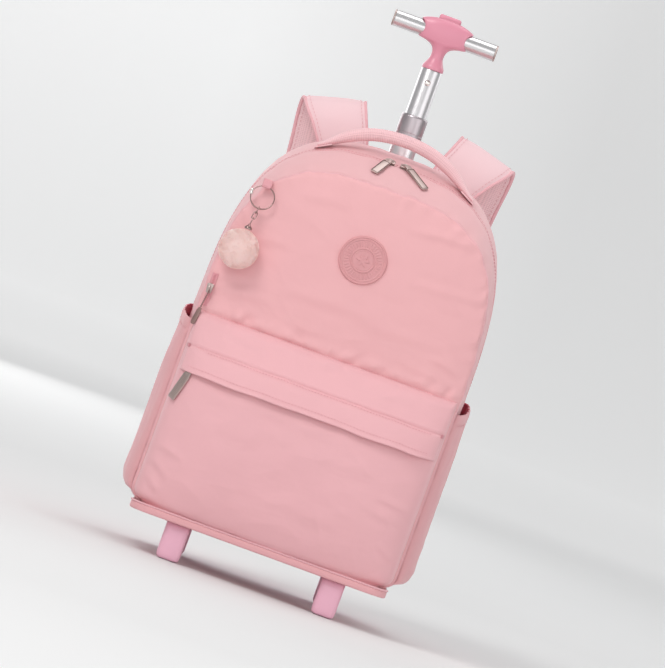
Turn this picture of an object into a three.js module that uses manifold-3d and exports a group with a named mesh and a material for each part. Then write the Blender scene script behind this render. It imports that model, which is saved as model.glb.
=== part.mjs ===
// Wheeled backpack with a telescoping T-handle, standing upright on two rear wheels and two front feet.
// Millimetres. +X is the bag's left-to-right seen from the front, +Y points to the back panel, +Z is up.
import * as THREE from "three";
import { mergeVertices } from "three/addons/utils/BufferGeometryUtils.js";
import Module from "manifold-3d";

const wasm = await Module();
wasm.setup();

// ---------------------------------------------------------------- driving dimensions
const FRAME_Y = -26.42; // moves the middle of the overall depth to Y = 0
const FRAME_X = 0;

const SPRING_Z = 259; // height at which the straight sides turn into the arched top
const CORNER_R = 16; // bottom corners of the body, seen from the front
const CLOTH = 2.5; // fabric and foam wall
const GAP = 0.3;

// Body outline at each depth: y, half width, top height, exponent of the arch, bottom height.
const BODY = [
  { y: -52, w: 146, top: 441, n: 3.2, zb: 47.5 },
  { y: -30, w: 149.6, top: 456, n: 3.12, zb: 47.5 },
  { y: -8, w: 151, top: 467, n: 3.05, zb: 47.5 },
  { y: 38, w: 151.5, top: 479, n: 3.0, zb: 47.5 },
  { y: 66, w: 150.6, top: 480, n: 3.0, zb: 74 },
  { y: 88, w: 147.5, top: 474, n: 3.0, zb: 95 },
];
const Y_FRONT = BODY[0].y;
const Y_BACK = BODY[BODY.length - 1].y;
const ZIP_Y = -8; // middle of the main zip
const ZIP_W = 5.2; // slot that the zip fills
const ZIP_LOW = 236; // the zip ends at this height on both sides

const PANEL_T = 3; // padded front panel
const PANEL_BULGE = 13;

const TRAY = { z0: 39, z1: 46.9, hw: 142, y0: -87, y1: 39.5, r: 22 };

const POCKET = { hw: 144, zb: 48, zt: 256, wall: 2.6, corner: 12 };
// Side profile of the front pocket: height, how far it stands off the front panel.
const POCKET_PROFILE = [
  { z: 48, d: 25 },
  { z: 58, d: 29 },
  { z: 85, d: 32.5 },
  { z: 130, d: 33.5 },
  { z: 175, d: 31 },
  { z: 200, d: 27.5 },
  { z: 219, d: 22.5 },
  { z: 236, d: 13.5 },
  { z: 248, d: 5.5 },
  { z: 256, d: 0 },
];
const FLAP = { z0: 193, z1: 219, lift: 6.2, t: 1.8 }; // lift: the hem stands this far off the pocket

const SIDE_POCKET = { y0: -47, y1: 83, top: 257, dip: 13, bulge: 7.5, wall: 2.2 };

const HANDLE = [
  // grab handle: x, y, z of the centre line, half depth, half thickness
  { x: -87, y: 9, z: 461.1, a: 10, b: 2.2 },
  { x: -80, y: 9, z: 465.1, a: 9.6, b: 2.6 },
  { x: -70, y: 9.5, z: 472.6, a: 8, b: 4.6 },
  { x: -55, y: 10, z: 482.6, a: 7, b: 6.2 },
  { x: -36, y: 10.5, z: 490.6, a: 6.8, b: 6.6 },
  { x: -18, y: 11, z: 494.5, a: 6.8, b: 6.6 },
  { x: 0, y: 11, z: 495.8, a: 6.8, b: 6.6 },
];

const STRAP_T = 9;
// Right shoulder strap: centre line, slope of its width (fall per mm outward), full width.
const STRAP = [
  { x: 56, y: 99.5, z: 432, s: 0, w: 50 },
  { x: 57.5, y: 100.5, z: 452, s: -0.04, w: 52 },
  { x: 64, y: 103, z: 474, s: -0.14, w: 56 },
  { x: 75, y: 109, z: 495, s: -0.24, w: 61 },
  { x: 83.5, y: 119, z: 508.5, s: -0.28, w: 67 },
  { x: 86.5, y: 130, z: 512, s: -0.28, w: 69 },
  { x: 88, y: 141, z: 506, s: -0.26, w: 69 },
  { x: 88, y: 149, z: 491, s: -0.22, w: 68 },
  { x: 86, y: 154.5, z: 465, s: -0.12, w: 66 },
  { x: 84, y: 157, z: 430, s: -0.04, w: 64 },
  { x: 83, y: 157, z: 380, s: 0, w: 62 },
  { x: 83, y: 153, z: 320, s: 0.02, w: 60 },
  { x: 86, y: 146, z: 265, s: 0.05, w: 55 },
  { x: 91, y: 139, z: 222, s: 0.08, w: 46 },
  { x: 93.6, y: 135.6, z: 208.5, s: 0.1, w: 38 },
];
// Webbing from the strap's ladder lock to the lower corner of the back: centre line.
const WEBBING = [
  { x: 97, y: 133, z: 187.2 },
  { x: 100, y: 131, z: 176 },
  { x: 110, y: 122, z: 150 },
  { x: 120, y: 110, z: 130 },
  { x: 127, y: 101, z: 119 },
  { x: 130, y: 96.4, z: 110 },
  { x: 131, y: 95.6, z: 103 },
];

const MAST_Y = 109;
const MAST = { outerR: 14, outerWall: 1.3, z0: 58, collarZ0: 498, collarZ1: 526, collarR: 14.7, innerR: 11.5, innerZ0: 176, innerZ1: 578 };
const BAR = { z: 618, r: 9, half: 58.6 };
// T-grip moulding, from the tube up: height, half width, half depth.
const GRIP = [
  { z: 578.4, a: 11.9, b: 11.9 },
  { z: 582, a: 11.6, b: 11.6 },
  { z: 586.5, a: 9.3, b: 9.3 },
  { z: 591.5, a: 7.3, b: 7.6 },
  { z: 596.5, a: 7.1, b: 7.6 },
  { z: 601, a: 8.4, b: 8.6 },
  { z: 604.5, a: 11.5, b: 9.8 },
  { z: 607, a: 18, b: 10.8 },
  { z: 609, a: 27, b: 11.4 },
  { z: 613, a: 31, b: 12 },
  { z: 618, a: 32, b: 12.4 },
  { z: 623, a: 31.5, b: 12.2 },
  { z: 627.5, a: 30, b: 11.4 },
  { z: 630.5, a: 25, b: 10.2 },
  { z: 633, a: 17, b: 8.4 },
  { z: 634.4, a: 9, b: 5.2 },
];
const BUTTON = { hx: 12.2, hy: 4.2, z0: 631.4, z1: 638.6, travel: 2.4 };

const WHEEL = { x: 86, y: 94, r: 38, w: 25.6, rimR: 25 };
const AXLE_R = 4;
const FOOT = { x: 86, y: -66, hx: 12.9, hy: 13, r: 5 };

const KEY = { x: -121, ringZ: 389, ringR: 12.6, wire: 1, y: -64.5, lean: 0.2 };
const POMPOM = { x: -126, y: -75.4, z: 331, r: 22, ry: 15 };

// ---------------------------------------------------------------- small mesh helpers
const lerp = (a, b, t) => a + (b - a) * t;

class Builder {
  constructor() {
    this.v = [];
    this.f = [];
  }
  point(p) {
    this.v.push(p);
    return this.v.length - 1;
  }
  tri(a, b, c) {
    if (a !== b && b !== c && a !== c) this.f.push([a, b, c]);
  }
  quad(a, b, c, d) {
    this.tri(a, b, c);
    this.tri(a, c, d);
  }
  geometry() {
    let vol = 0;
    for (const [a, b, c] of this.f) {
      const [p, q, r] = [this.v[a], this.v[b], this.v[c]];
      vol += p[0] * (q[1] * r[2] - q[2] * r[1]) + p[1] * (q[2] * r[0] - q[0] * r[2]) + p[2] * (q[0] * r[1] - q[1] * r[0]);
    }
    const g = new THREE.BufferGeometry();
    g.setAttribute("position", new THREE.Float32BufferAttribute(this.v.flat(), 3));
    g.setIndex(this.f.flatMap(([a, b, c]) => (vol < 0 ? [a, c, b] : [a, b, c])));
    g.computeVertexNormals();
    return g;
  }
}

// A wall between two grids of points, outer[i][j] and inner[i][j]; i wraps round when wrap is true.
function wall(outer, inner, wrap) {
  const b = new Builder();
  const ni = outer.length, nj = outer[0].length;
  const o = outer.map((row) => row.map((p) => b.point(p)));
  const n = inner.map((row) => row.map((p) => b.point(p)));
  const last = wrap ? ni : ni - 1;
  for (let i = 0; i < last; i++) {
    const k = (i + 1) % ni;
    for (let j = 0; j < nj - 1; j++) {
      b.quad(o[i][j], o[k][j], o[k][j + 1], o[i][j + 1]);
      b.quad(n[i][j], n[i][j + 1], n[k][j + 1], n[k][j]);
    }
    b.quad(o[k][0], o[i][0], n[i][0], n[k][0]);
    b.quad(o[i][nj - 1], o[k][nj - 1], n[k][nj - 1], n[i][nj - 1]);
  }
  if (!wrap)
    for (let j = 0; j < nj - 1; j++) {
      b.quad(o[0][j], o[0][j + 1], n[0][j + 1], n[0][j]);
      b.quad(o[ni - 1][j + 1], o[ni - 1][j], n[ni - 1][j], n[ni - 1][j + 1]);
    }
  return b.geometry();
}

// A closed plate between two stacks of rings, each shrinking to a middle point.
function plate(outerRings, outerMid, innerRings, innerMid) {
  const b = new Builder();
  const o = outerRings.map((r) => r.map((p) => b.point(p)));
  const n = innerRings.map((r) => r.map((p) => b.point(p)));
  const om = b.point(outerMid), im = b.point(innerMid);
  const m = o[0].length, top = o.length - 1;
  for (let k = 0; k < m; k++) {
    const l = (k + 1) % m;
    b.tri(om, o[0][k], o[0][l]);
    b.tri(im, n[0][l], n[0][k]);
    for (let j = 0; j < top; j++) {
      b.quad(o[j][k], o[j + 1][k], o[j + 1][l], o[j][l]);
      b.quad(n[j][k], n[j][l], n[j + 1][l], n[j + 1][k]);
    }
    b.quad(o[top][k], n[top][k], n[top][l], o[top][l]);
  }
  return b.geometry();
}

// A solid through closed sections, one after another, capped at both ends or closed into a ring.
function loft(sections, closed = false) {
  const b = new Builder();
  const s = sections.map((r) => r.map((p) => b.point(p)));
  const m = s[0].length, count = s.length;
  for (let i = 0; i < (closed ? count : count - 1); i++) {
    const a = s[i], c = s[(i + 1) % count];
    for (let k = 0; k < m; k++) {
      const l = (k + 1) % m;
      b.quad(a[k], a[l], c[l], c[k]);
    }
  }
  if (!closed)
    for (const [ring, flip] of [[s[0], true], [s[count - 1], false]]) {
      const mid = [0, 1, 2].map((q) => ring.reduce((t, i) => t + b.v[i][q], 0) / m);
      const c = b.point(mid);
      for (let k = 0; k < m; k++) {
        const l = (k + 1) % m;
        if (flip) b.tri(c, ring[l], ring[k]);
        else b.tri(c, ring[k], ring[l]);
      }
    }
  return b.geometry();
}

const V = (p) => new THREE.Vector3(...(Array.isArray(p) ? p : [p.x, p.y, p.z]));

// Smooth resampling of table rows by a Catmull-Rom spline through every named column.
function smoothRows(rows, perSpan) {
  const keys = Object.keys(rows[0]), out = [];
  for (let i = 0; i < rows.length - 1; i++)
    for (let k = 0; k < perSpan; k++) out.push(blendRow(rows, keys, i, k / perSpan));
  out.push({ ...rows[rows.length - 1] });
  return out;
}
function blendRow(rows, keys, i, t) {
  const row = {};
  for (const key of keys) {
    const p1 = rows[i][key], p2 = rows[i + 1][key];
    const p0 = i > 0 ? rows[i - 1][key] : 2 * p1 - p2;
    const p3 = i + 2 < rows.length ? rows[i + 2][key] : 2 * p2 - p1;
    row[key] = 0.5 * (2 * p1 + (p2 - p0) * t + (2 * p0 - 5 * p1 + 4 * p2 - p3) * t * t + (3 * p1 - p0 - 3 * p2 + p3) * t * t * t);
  }
  return row;
}
// Straight-line lookup of one column by another.
function look(rows, by, x, key) {
  if (x <= rows[0][by]) return rows[0][key];
  for (let i = 0; i < rows.length - 1; i++)
    if (x <= rows[i + 1][by]) return lerp(rows[i][key], rows[i + 1][key], (x - rows[i][by]) / (rows[i + 1][by] - rows[i][by]));
  return rows[rows.length - 1][key];
}

function toManifold(geometry) {
  const g = geometry.clone();
  g.deleteAttribute("normal");
  g.deleteAttribute("uv");
  const m = mergeVertices(g, 1e-4);
  return new wasm.Manifold(new wasm.Mesh({ numProp: 3, vertProperties: new Float32Array(m.attributes.position.array), triVerts: new Uint32Array(m.index.array) }));
}
function fromManifold(solid) {
  const m = solid.getMesh(), g = new THREE.BufferGeometry();
  g.setAttribute("position", new THREE.BufferAttribute(new Float32Array(m.vertProperties), 3));
  g.setIndex(new THREE.BufferAttribute(new Uint32Array(m.triVerts), 1));
  g.computeVertexNormals();
  return g;
}
const moved = (g, x, y, z) => g.clone().translate(x, y, z);
// A cylinder along X, Y or Z between two coordinates on that axis, at (p, q) on the other two.
function rod(axis, r, from, to, p, q, seg = 24) {
  const g = new THREE.CylinderGeometry(r, r, to - from, seg);
  if (axis === "x") return g.rotateZ(-Math.PI / 2).translate((from + to) / 2, p, q);
  if (axis === "y") return g.translate(p, (from + to) / 2, q);
  return g.rotateX(Math.PI / 2).translate(p, q, (from + to) / 2);
}
// A turned solid on an axis along Z; the profile is a list of {r, z} rows, closed on itself.
function turned(rows, seg = 24) {
  return new THREE.LatheGeometry([...rows, rows[0]].map((p) => new THREE.Vector2(p.r, p.z)), seg).rotateX(Math.PI / 2);
}

// ---------------------------------------------------------------- body outline
const BODY_FINE = smoothRows(BODY, 4);
const bodyAt = (y) => ({
  y,
  w: look(BODY_FINE, "y", y, "w"),
  top: look(BODY_FINE, "y", y, "top"),
  n: look(BODY_FINE, "y", y, "n"),
  zb: look(BODY, "y", y, "zb"),
});

function spaced(points, count) {
  const s = [0];
  for (let i = 1; i < points.length; i++) s.push(s[i - 1] + Math.hypot(points[i][0] - points[i - 1][0], points[i][1] - points[i - 1][1]));
  const out = [];
  for (let k = 0, i = 0; k < count; k++) {
    const want = (s[s.length - 1] * k) / count;
    while (s[i + 1] < want) i++;
    const t = (want - s[i]) / (s[i + 1] - s[i] || 1);
    out.push([lerp(points[i][0], points[i + 1][0], t), lerp(points[i][1], points[i + 1][1], t)]);
  }
  return out;
}

const ARCH_STEPS = 24, SIDE_STEPS = 4, CORNER_STEPS = 4, FLOOR_STEPS = 6;
const LOOP_COUNT = ARCH_STEPS + 2 * (SIDE_STEPS + CORNER_STEPS) + FLOOR_STEPS;

// The closed outline [x, z] at a section of the body, drawn in by inset, starting where the right side meets the arch.
function bodyLoop(sec, inset = 0) {
  const w = sec.w - inset, rise = sec.top - inset - SPRING_Z, zb = sec.zb + inset, r = Math.max(CORNER_R - inset, 3), n = sec.n;
  const dense = [];
  for (let k = 0; k <= 240; k++) {
    const a = (Math.PI * k) / 240, c = Math.cos(a), s = Math.sin(a);
    dense.push([w * Math.sign(c) * Math.abs(c) ** (2 / n), SPRING_Z + rise * Math.abs(s) ** (2 / n)]);
  }
  const corner = (sign, k) => {
    const a = (Math.PI / 2) * k;
    return [sign * (w - r + r * Math.cos(a)), zb + r - r * Math.sin(a)];
  };
  const out = spaced(dense, ARCH_STEPS);
  for (let k = 0; k < SIDE_STEPS; k++) out.push([-w, lerp(SPRING_Z, zb + r, k / SIDE_STEPS)]);
  for (let k = 0; k < CORNER_STEPS; k++) out.push(corner(-1, k / CORNER_STEPS));
  for (let k = 0; k < FLOOR_STEPS; k++) out.push([lerp(-(w - r), w - r, k / FLOOR_STEPS), zb]);
  for (let k = 0; k < CORNER_STEPS; k++) out.push(corner(1, 1 - k / CORNER_STEPS));
  for (let k = 0; k < SIDE_STEPS; k++) out.push([w, lerp(zb + r, SPRING_Z, k / SIDE_STEPS)]);
  return out;
}
// X of the body's side at a depth and height.
function sideX(y, z) {
  const s = bodyAt(y), low = s.zb + CORNER_R;
  if (z < low) return s.w - CORNER_R + Math.sqrt(Math.max(0, CORNER_R ** 2 - (low - z) ** 2));
  if (z <= SPRING_Z) return s.w;
  return s.w * Math.max(0, 1 - ((z - SPRING_Z) / (s.top - SPRING_Z)) ** s.n) ** (1 / s.n);
}
// Height of the body's top at x and depth y.
function topZ(x, y) {
  const s = bodyAt(y);
  return SPRING_Z + (s.top - SPRING_Z) * Math.max(0, 1 - (Math.abs(x) / s.w) ** s.n) ** (1 / s.n);
}
// How far the padded front panel stands forward of its seam, at x, z.
function panelRise(x, z) {
  const f = BODY[0], a = Math.abs(x) / f.w;
  const b = z > SPRING_Z ? (z - SPRING_Z) / (f.top - SPRING_Z) : (SPRING_Z - z) / (SPRING_Z - f.zb);
  const m = z > SPRING_Z ? f.n : 6;
  const rho = Math.min(1, (a ** m + b ** m) ** (1 / m));
  return PANEL_BULGE * (1 - rho ** 3.2);
}
const panelY = (x, z) => Y_FRONT - GAP - PANEL_T - panelRise(x, z);

// ---------------------------------------------------------------- nodes
const root = new THREE.Group();
const groups = {};
function group(name) {
  if (!groups[name]) {
    groups[name] = new THREE.Group();
    root.add(groups[name]);
  }
  return groups[name];
}
const MATERIALS = {
  shell_fabric: { color: 0xe9b3b6, roughness: 0.85, metalness: 0 },
  pocket_fabric: { color: 0xe9b3b6, roughness: 0.85, metalness: 0 },
  strap_fabric: { color: 0xf3cccf, roughness: 0.85, metalness: 0 },
  zip_tape: { color: 0xdf9fa6, roughness: 0.8, metalness: 0 },
  webbing: { color: 0xe8a9b0, roughness: 0.8, metalness: 0 },
  pink_plastic: { color: 0xe79ab8, roughness: 0.4, metalness: 0 },
  tyre_pink: { color: 0xe8a6c4, roughness: 0.55, metalness: 0 },
  aluminium: { color: 0xd9d6d6, roughness: 0.3, metalness: 0.9 },
  pull_metal: { color: 0xcfc0bd, roughness: 0.35, metalness: 0.9 },
  ring_steel: { color: 0xa58f8c, roughness: 0.25, metalness: 1 },
  badge_rubber: { color: 0xdd9ea4, roughness: 0.6, metalness: 0 },
  fur: { color: 0xf6d9d3, roughness: 1, metalness: 0 },
};
function node(name, material, geometry, into = "bag") {
  const mesh = new THREE.Mesh(geometry, new THREE.MeshStandardMaterial(MATERIALS[material]));
  mesh.name = name;
  group(into).add(mesh);
  return mesh;
}

// ---- body shell: front panel, front and rear gusset bands with the zip between, back panel
{
  const rings = [0.3, 0.58, 0.82, 1];
  const edge = bodyLoop(BODY[0]);
  const cz = 250;
  const surface = (lift) => rings.map((r) => edge.map(([x, z]) => {
    const px = x * r, pz = cz + (z - cz) * r;
    return [px, Y_FRONT - GAP - lift - panelRise(px, pz), pz];
  }));
  node("front_panel", "shell_fabric", plate(surface(PANEL_T), [0, panelY(0, cz), cz], surface(0), [0, panelY(0, cz) + PANEL_T, cz]));
}
// Front and rear edges of the slot for the zip: open above ZIP_LOW, closed to a seam below it.
const slotHalf = (z) => (z > ZIP_LOW ? ZIP_W / 2 : GAP / 2 + 0.02);
function band(yAt) {
  // yAt(z) lists the depths across the band at that height
  const sample = bodyLoop(bodyAt(ZIP_Y));
  const count = yAt(300).length;
  const outer = sample.map(() => []), inner = sample.map(() => []);
  for (let j = 0; j < count; j++) {
    sample.forEach(([, z], i) => {
      const y = yAt(z)[j];
      const po = bodyLoop(bodyAt(y))[i], pi = bodyLoop(bodyAt(y), CLOTH)[i];
      outer[i].push([po[0], y, po[1]]);
      inner[i].push([pi[0], y, pi[1]]);
    });
  }
  return wall(outer, inner, true);
}
node("gusset_front", "shell_fabric", band((z) => {
  const end = ZIP_Y - slotHalf(z);
  return [0, 0.5, 1].map((t) => lerp(Y_FRONT, end, t));
}));
node("gusset_rear", "shell_fabric", band((z) => {
  const start = ZIP_Y + slotHalf(z);
  return [start, lerp(start, 38, 0.5), 38, 66, Y_BACK];
}));
{
  const s = bodyAt(ZIP_Y), half = ZIP_W / 2 - GAP;
  const all = bodyLoop(s), allIn = bodyLoop(s, CLOTH);
  const keep = [];
  for (let k = -2; k <= ARCH_STEPS + 2; k++) keep.push((k + LOOP_COUNT) % LOOP_COUNT);
  const used = keep.filter((i) => all[i][1] > ZIP_LOW + 6);
  const row = (src, dy) => used.map((i) => [src[i][0], ZIP_Y + dy, src[i][1]]);
  const a = row(all, -half), b = row(all, half), c = row(allIn, -half), d = row(allIn, half);
  node("main_zip", "zip_tape", loft(used.map((_, i) => [a[i], b[i], d[i], c[i]])));
}
{
  const s = BODY[BODY.length - 1];
  const flat = (y, inset) => [0.5, 1].map((r) => bodyLoop(s, inset * (r === 1 ? 1 : 0)).map(([x, z]) => [x * r, y, 270 + (z - 270) * r]));
  node("back_panel", "shell_fabric", plate(flat(Y_BACK + GAP, 0), [0, Y_BACK + GAP, 270], flat(Y_BACK + 4.8, 2), [0, Y_BACK + 4.8, 270]));
}

// ---- stiff base board under the body
{
  const shape = new THREE.Shape(), { hw, y0, y1, r } = TRAY;
  shape.moveTo(-hw + r, y0).lineTo(hw - r, y0).absarc(hw - r, y0 + r, r, -Math.PI / 2, 0, false);
  shape.lineTo(hw, y1).lineTo(-hw, y1).lineTo(-hw, y0 + r).absarc(-hw + r, y0 + r, r, Math.PI, 1.5 * Math.PI, false);
  node("base_board", "shell_fabric", new THREE.ExtrudeGeometry(shape, { depth: TRAY.z1 - TRAY.z0, bevelEnabled: false, curveSegments: 6 }).translate(0, 0, TRAY.z0));
}

// ---- front pocket, its zip and the flap over it
const POCKET_FINE = smoothRows(POCKET_PROFILE, 4);
// How far the front pocket stands off the front panel at x, z.
function pocketOff(x, z) {
  const a = Math.min(1, Math.abs(x) / POCKET.hw);
  return Math.max(0, look(POCKET_FINE, "z", z, "d")) * (1 - a ** 6) ** (1 / 2.6);
}
// Half width of the front pocket at a height: the lower corners are rounded.
function pocketHalf(z) {
  const r = POCKET.corner, low = POCKET.zb + r + 2;
  if (z >= low) return POCKET.hw;
  return POCKET.hw - r + Math.sqrt(Math.max(0, r * r - (low - z) ** 2));
}
const POCKET_SEAM = 1.1; // clearance between the panel and the pocket's edge
const pocketY = (x, z) => panelY(x, z) - POCKET_SEAM - POCKET.wall - pocketOff((x * POCKET.hw) / pocketHalf(z), z);
// Direction that a surface y = f(x, z) faces, towards the front.
function facing(f, x, z) {
  const e = 0.5;
  return V([(f(x + e, z) - f(x - e, z)) / (2 * e), -1, (f(x, z + e) - f(x, z - e)) / (2 * e)]).normalize();
}
const POCKET_HALF = [0.25, 0.5, 0.68, 0.78, 0.85, 0.92, 0.97, 1];
const POCKET_U = [...POCKET_HALF.map((u) => -u).reverse(), 0, ...POCKET_HALF];
{
  const zs = [48, 52, 57, 62, 76, 100, 130, 160, 193, 203, 211, 219, 232, 244, 252, 256];
  const grid = (lift) => POCKET_U.map((u) => zs.map((z) => {
    const x = u * pocketHalf(z);
    const off = pocketOff(u * POCKET.hw, z);
    return [x, panelY(x, z) - POCKET_SEAM - off - lift, z];
  }));
  node("front_pocket", "pocket_fabric", wall(grid(POCKET.wall), grid(0), false));
}
{
  const xs = POCKET_U.map((u) => u * POCKET.hw).filter((x) => Math.abs(x) <= 141);
  const zs = [193, 203, 211, 219];
  const lift = (z) => lerp(FLAP.lift, 0, (z - FLAP.z0) / (FLAP.z1 - FLAP.z0));
  const flat = (x) => Math.max(0, 1 - (Math.abs(x) / POCKET.hw) ** 24);
  const grid = (t) => xs.map((x) => zs.map((z) => [x, pocketY(x, z) - 0.6 - lift(z) * flat(x) - t, z]));
  node("pocket_flap", "pocket_fabric", wall(grid(FLAP.t), grid(0), false));
  const zx = [-126, ...xs.filter((x) => Math.abs(x) < 122), 126];
  node("pocket_zip", "zip_tape", loft(zx.map((x) => [
    [x, pocketY(x, 196) - 0.8, 196],
    [x, pocketY(x, 203) - 0.8, 203],
    [x, pocketY(x, 203) - 1.5, 203],
    [x, pocketY(x, 196) - 1.5, 196],
  ])));
}

// ---- side pockets
function sidePocket(sign) {
  const { y0, y1, top, dip, bulge, wall: t } = SIDE_POCKET;
  const as = [0, 0.06, 0.16, 0.32, 0.5, 0.68, 0.84, 0.94, 1];
  const bs = [0, 0.04, 0.09, 0.16, 0.28, 0.5, 0.75, 0.9, 1];
  const grid = (lift) => as.map((a) => bs.map((b) => {
    const y = lerp(y0, y1, a);
    const zLow = bodyAt(y).zb + 9, zTop = top - dip * (1 - a) ** 1.5;
    const z = lerp(zLow, zTop, b);
    const puff = bulge * Math.max(0, 1 - Math.abs(2 * a - 1) ** 3.2) * Math.min(1, (b / 0.09) ** 0.6) * (b > 0.75 ? lerp(1, 0.72, (b - 0.75) / 0.25) : 1);
    return [sign * (sideX(y, z) + 0.7 + 1.3 * Math.max(0, 1 - b / 0.3) + puff + lift), y, z];
  }));
  return wall(grid(t), grid(0), false);
}
node("side_pocket_left", "pocket_fabric", sidePocket(-1));
node("side_pocket_right", "pocket_fabric", sidePocket(1));

// ---- grab handle
{
  const half = smoothRows(HANDLE, 2);
  const rows = [...half, ...half.slice(0, -1).reverse().map((r) => ({ ...r, x: -r.x }))];
  const sections = rows.map((r, i) => {
    const p = rows[Math.max(0, i - 1)], q = rows[Math.min(rows.length - 1, i + 1)];
    const tx = q.x - p.x, tz = q.z - p.z, len = Math.hypot(tx, tz);
    const nx = -tz / len, nz = tx / len;
    return Array.from({ length: 10 }, (_, k) => {
      const a = (2 * Math.PI * k) / 10, c = Math.cos(a) * r.a, s = Math.sin(a) * r.b;
      return [r.x + nx * s, r.y + c, r.z + nz * s];
    });
  });
  node("grab_handle", "webbing", loft(sections));
}

// ---- shoulder straps and their lower webbing
function ribbon(rows, thickness, mirror, corners = 0.32) {
  const m = mirror ? -1 : 1;
  return loft(rows.map((r, i) => {
    const p = V(rows[Math.max(0, i - 1)]), q = V(rows[Math.min(rows.length - 1, i + 1)]);
    const along = q.clone().sub(p).normalize();
    const wide = new THREE.Vector3(1, r.sy || 0, r.s || 0);
    wide.addScaledVector(along, -wide.dot(along)).normalize();
    const out = new THREE.Vector3().crossVectors(along, wide).normalize();
    const hw = r.w / 2, ht = thickness / 2, c = Math.min(ht * 0.9, hw * corners);
    return [[-hw, -ht + c], [-hw + c, -ht], [hw - c, -ht], [hw, -ht + c], [hw, ht - c], [hw - c, ht], [-hw + c, ht], [-hw, ht - c]].map(([a, b]) => {
      const v = V(r).addScaledVector(wide, a).addScaledVector(out, b);
      return [m * v.x, v.y, v.z];
    });
  }));
}
const strapRows = smoothRows(STRAP, 2);
const webRows = smoothRows(WEBBING.map((p) => ({ ...p, w: 25, s: 0 })), 2);
for (const [side, mirror] of [["left", true], ["right", false]]) {
  node("strap_" + side, "strap_fabric", ribbon(strapRows, STRAP_T, mirror));
  node("strap_webbing_" + side, "webbing", ribbon(webRows, 1.8, mirror, 0.02));
  // ladder lock between the strap and the webbing
  const m = mirror ? -1 : 1;
  const frame = toManifold(new THREE.BoxGeometry(34, 5, 11))
    .subtract(toManifold(moved(new THREE.BoxGeometry(27, 9, 2.6), 0, 0, 2.6)))
    .subtract(toManifold(moved(new THREE.BoxGeometry(27, 9, 2.6), 0, 0, -2.6)));
  const lock = node("ladder_lock_" + side, "pink_plastic", fromManifold(frame));
  lock.position.set(m * 95.4, 134.2, 197.4);
  lock.rotation.set(-0.16, m * 0.1, 0);
}

// ---- back of the bag: padded panels and the cover over the mast
function pad(sign) {
  const hx = 46, hz = 150, cx = 88, cz = 268, deep = 13, y0 = Y_BACK + 5.1;
  const shape = (r) => Array.from({ length: 20 }, (_, k) => {
    const a = (2 * Math.PI * k) / 20, c = Math.cos(a), s = Math.sin(a);
    return [sign * cx + hx * r * Math.sign(c) * Math.abs(c) ** 0.55, cz + hz * r * Math.sign(s) * Math.abs(s) ** 0.4];
  });
  const rings = [0.55, 0.85, 0.97, 1];
  const depth = [1, 0.86, 0.5, 0.16];
  const outer = rings.map((r, i) => shape(r).map(([x, z]) => [x, y0 + deep * depth[i], z]));
  const inner = rings.map((r) => shape(r).map(([x, z]) => [x, y0, z]));
  return plate(outer, [sign * cx, y0 + deep, cz], inner, [sign * cx, y0, cz]);
}
node("back_pad_left", "strap_fabric", pad(-1));
node("back_pad_right", "strap_fabric", pad(1));
{
  const y0 = Y_BACK + 5.1, t = 2.4, zs = [112, 215, 320, 424];
  const profile = (r, flange) => {
    const pts = [[-flange, y0 + (r - 18)], [-r - 3, y0 + (r - 18)]];
    for (let k = 0; k <= 8; k++) {
      const a = Math.PI - (Math.PI * k) / 8;
      pts.push([Math.cos(a) * r, MAST_Y - 3 + Math.sin(a) * r]);
    }
    pts.push([r + 3, y0 + (r - 18)], [flange, y0 + (r - 18)]);
    return pts;
  };
  const grid = (r) => profile(r, 37).map(([x, y]) => zs.map((z) => [x, y, z]));
  node("mast_cover", "shell_fabric", wall(grid(18 + t), grid(18), false));
}

// ---- badge on the front panel
{
  const r = 25.7, z0 = 363;
  const ring = (k, lift) => Array.from({ length: 28 }, (_, i) => {
    const a = (2 * Math.PI * i) / 28, x = r * k * Math.cos(a), z = z0 + r * k * Math.sin(a);
    return [x, panelY(x, z) - 1 - lift, z];
  });
  node("badge", "badge_rubber", plate([ring(0.5, 1.3), ring(1, 1.3)], [0, panelY(0, z0) - 2.3, z0], [ring(0.5, 0), ring(1, 0)], [0, panelY(0, z0) - 1, z0]));
}

// ---- zip sliders and pulls
function slab(length, width, thickness, hole) {
  // a flat pull, hanging down from the origin, facing -Y
  const h = width / 2, r = 1.6, pts = [[-h * 0.72, 0], [h * 0.72, 0], [h, -5], [h, -length + r], [h - r, -length], [-h + r, -length], [-h, -length + r], [-h, -5]];
  const solid = toManifold(loft([0, thickness].map((y) => pts.map(([x, z]) => [x, y, z]))));
  return fromManifold(hole ? solid.subtract(toManifold(rod("y", 1.2, -1, thickness + 1, 0, -3.2, 10))) : solid);
}
// Puts an object so that its own -Z runs along `down` and its -Y faces `face`, with its origin at `at`.
function pose(mesh, at, down, face) {
  const z = V(down).normalize().negate(), f = V(face).normalize();
  const y = f.clone().addScaledVector(z, -f.dot(z)).normalize().negate();
  const x = new THREE.Vector3().crossVectors(y, z);
  mesh.quaternion.setFromRotationMatrix(new THREE.Matrix4().makeBasis(x, y, z));
  mesh.position.set(...at);
  return mesh;
}
const sliderShape = () => {
  const s = new THREE.Shape();
  s.moveTo(-3.6, 5).lineTo(3.6, 5).lineTo(2.6, -4.6).lineTo(-2.6, -4.6);
  return new THREE.ExtrudeGeometry(s, { depth: 3, bevelEnabled: true, bevelSize: 0.6, bevelThickness: 0.6, bevelSegments: 1, curveSegments: 2 }).rotateX(Math.PI / 2);
};

// Puts a slider on a zip, its outer face about 5 off the tape and its length along `way`.
function slider(name, at, face, way) {
  const p = V(at).addScaledVector(V(face).normalize(), 2);
  pose(node(name, "pull_metal", sliderShape()), p.toArray(), way, face);
}
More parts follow.
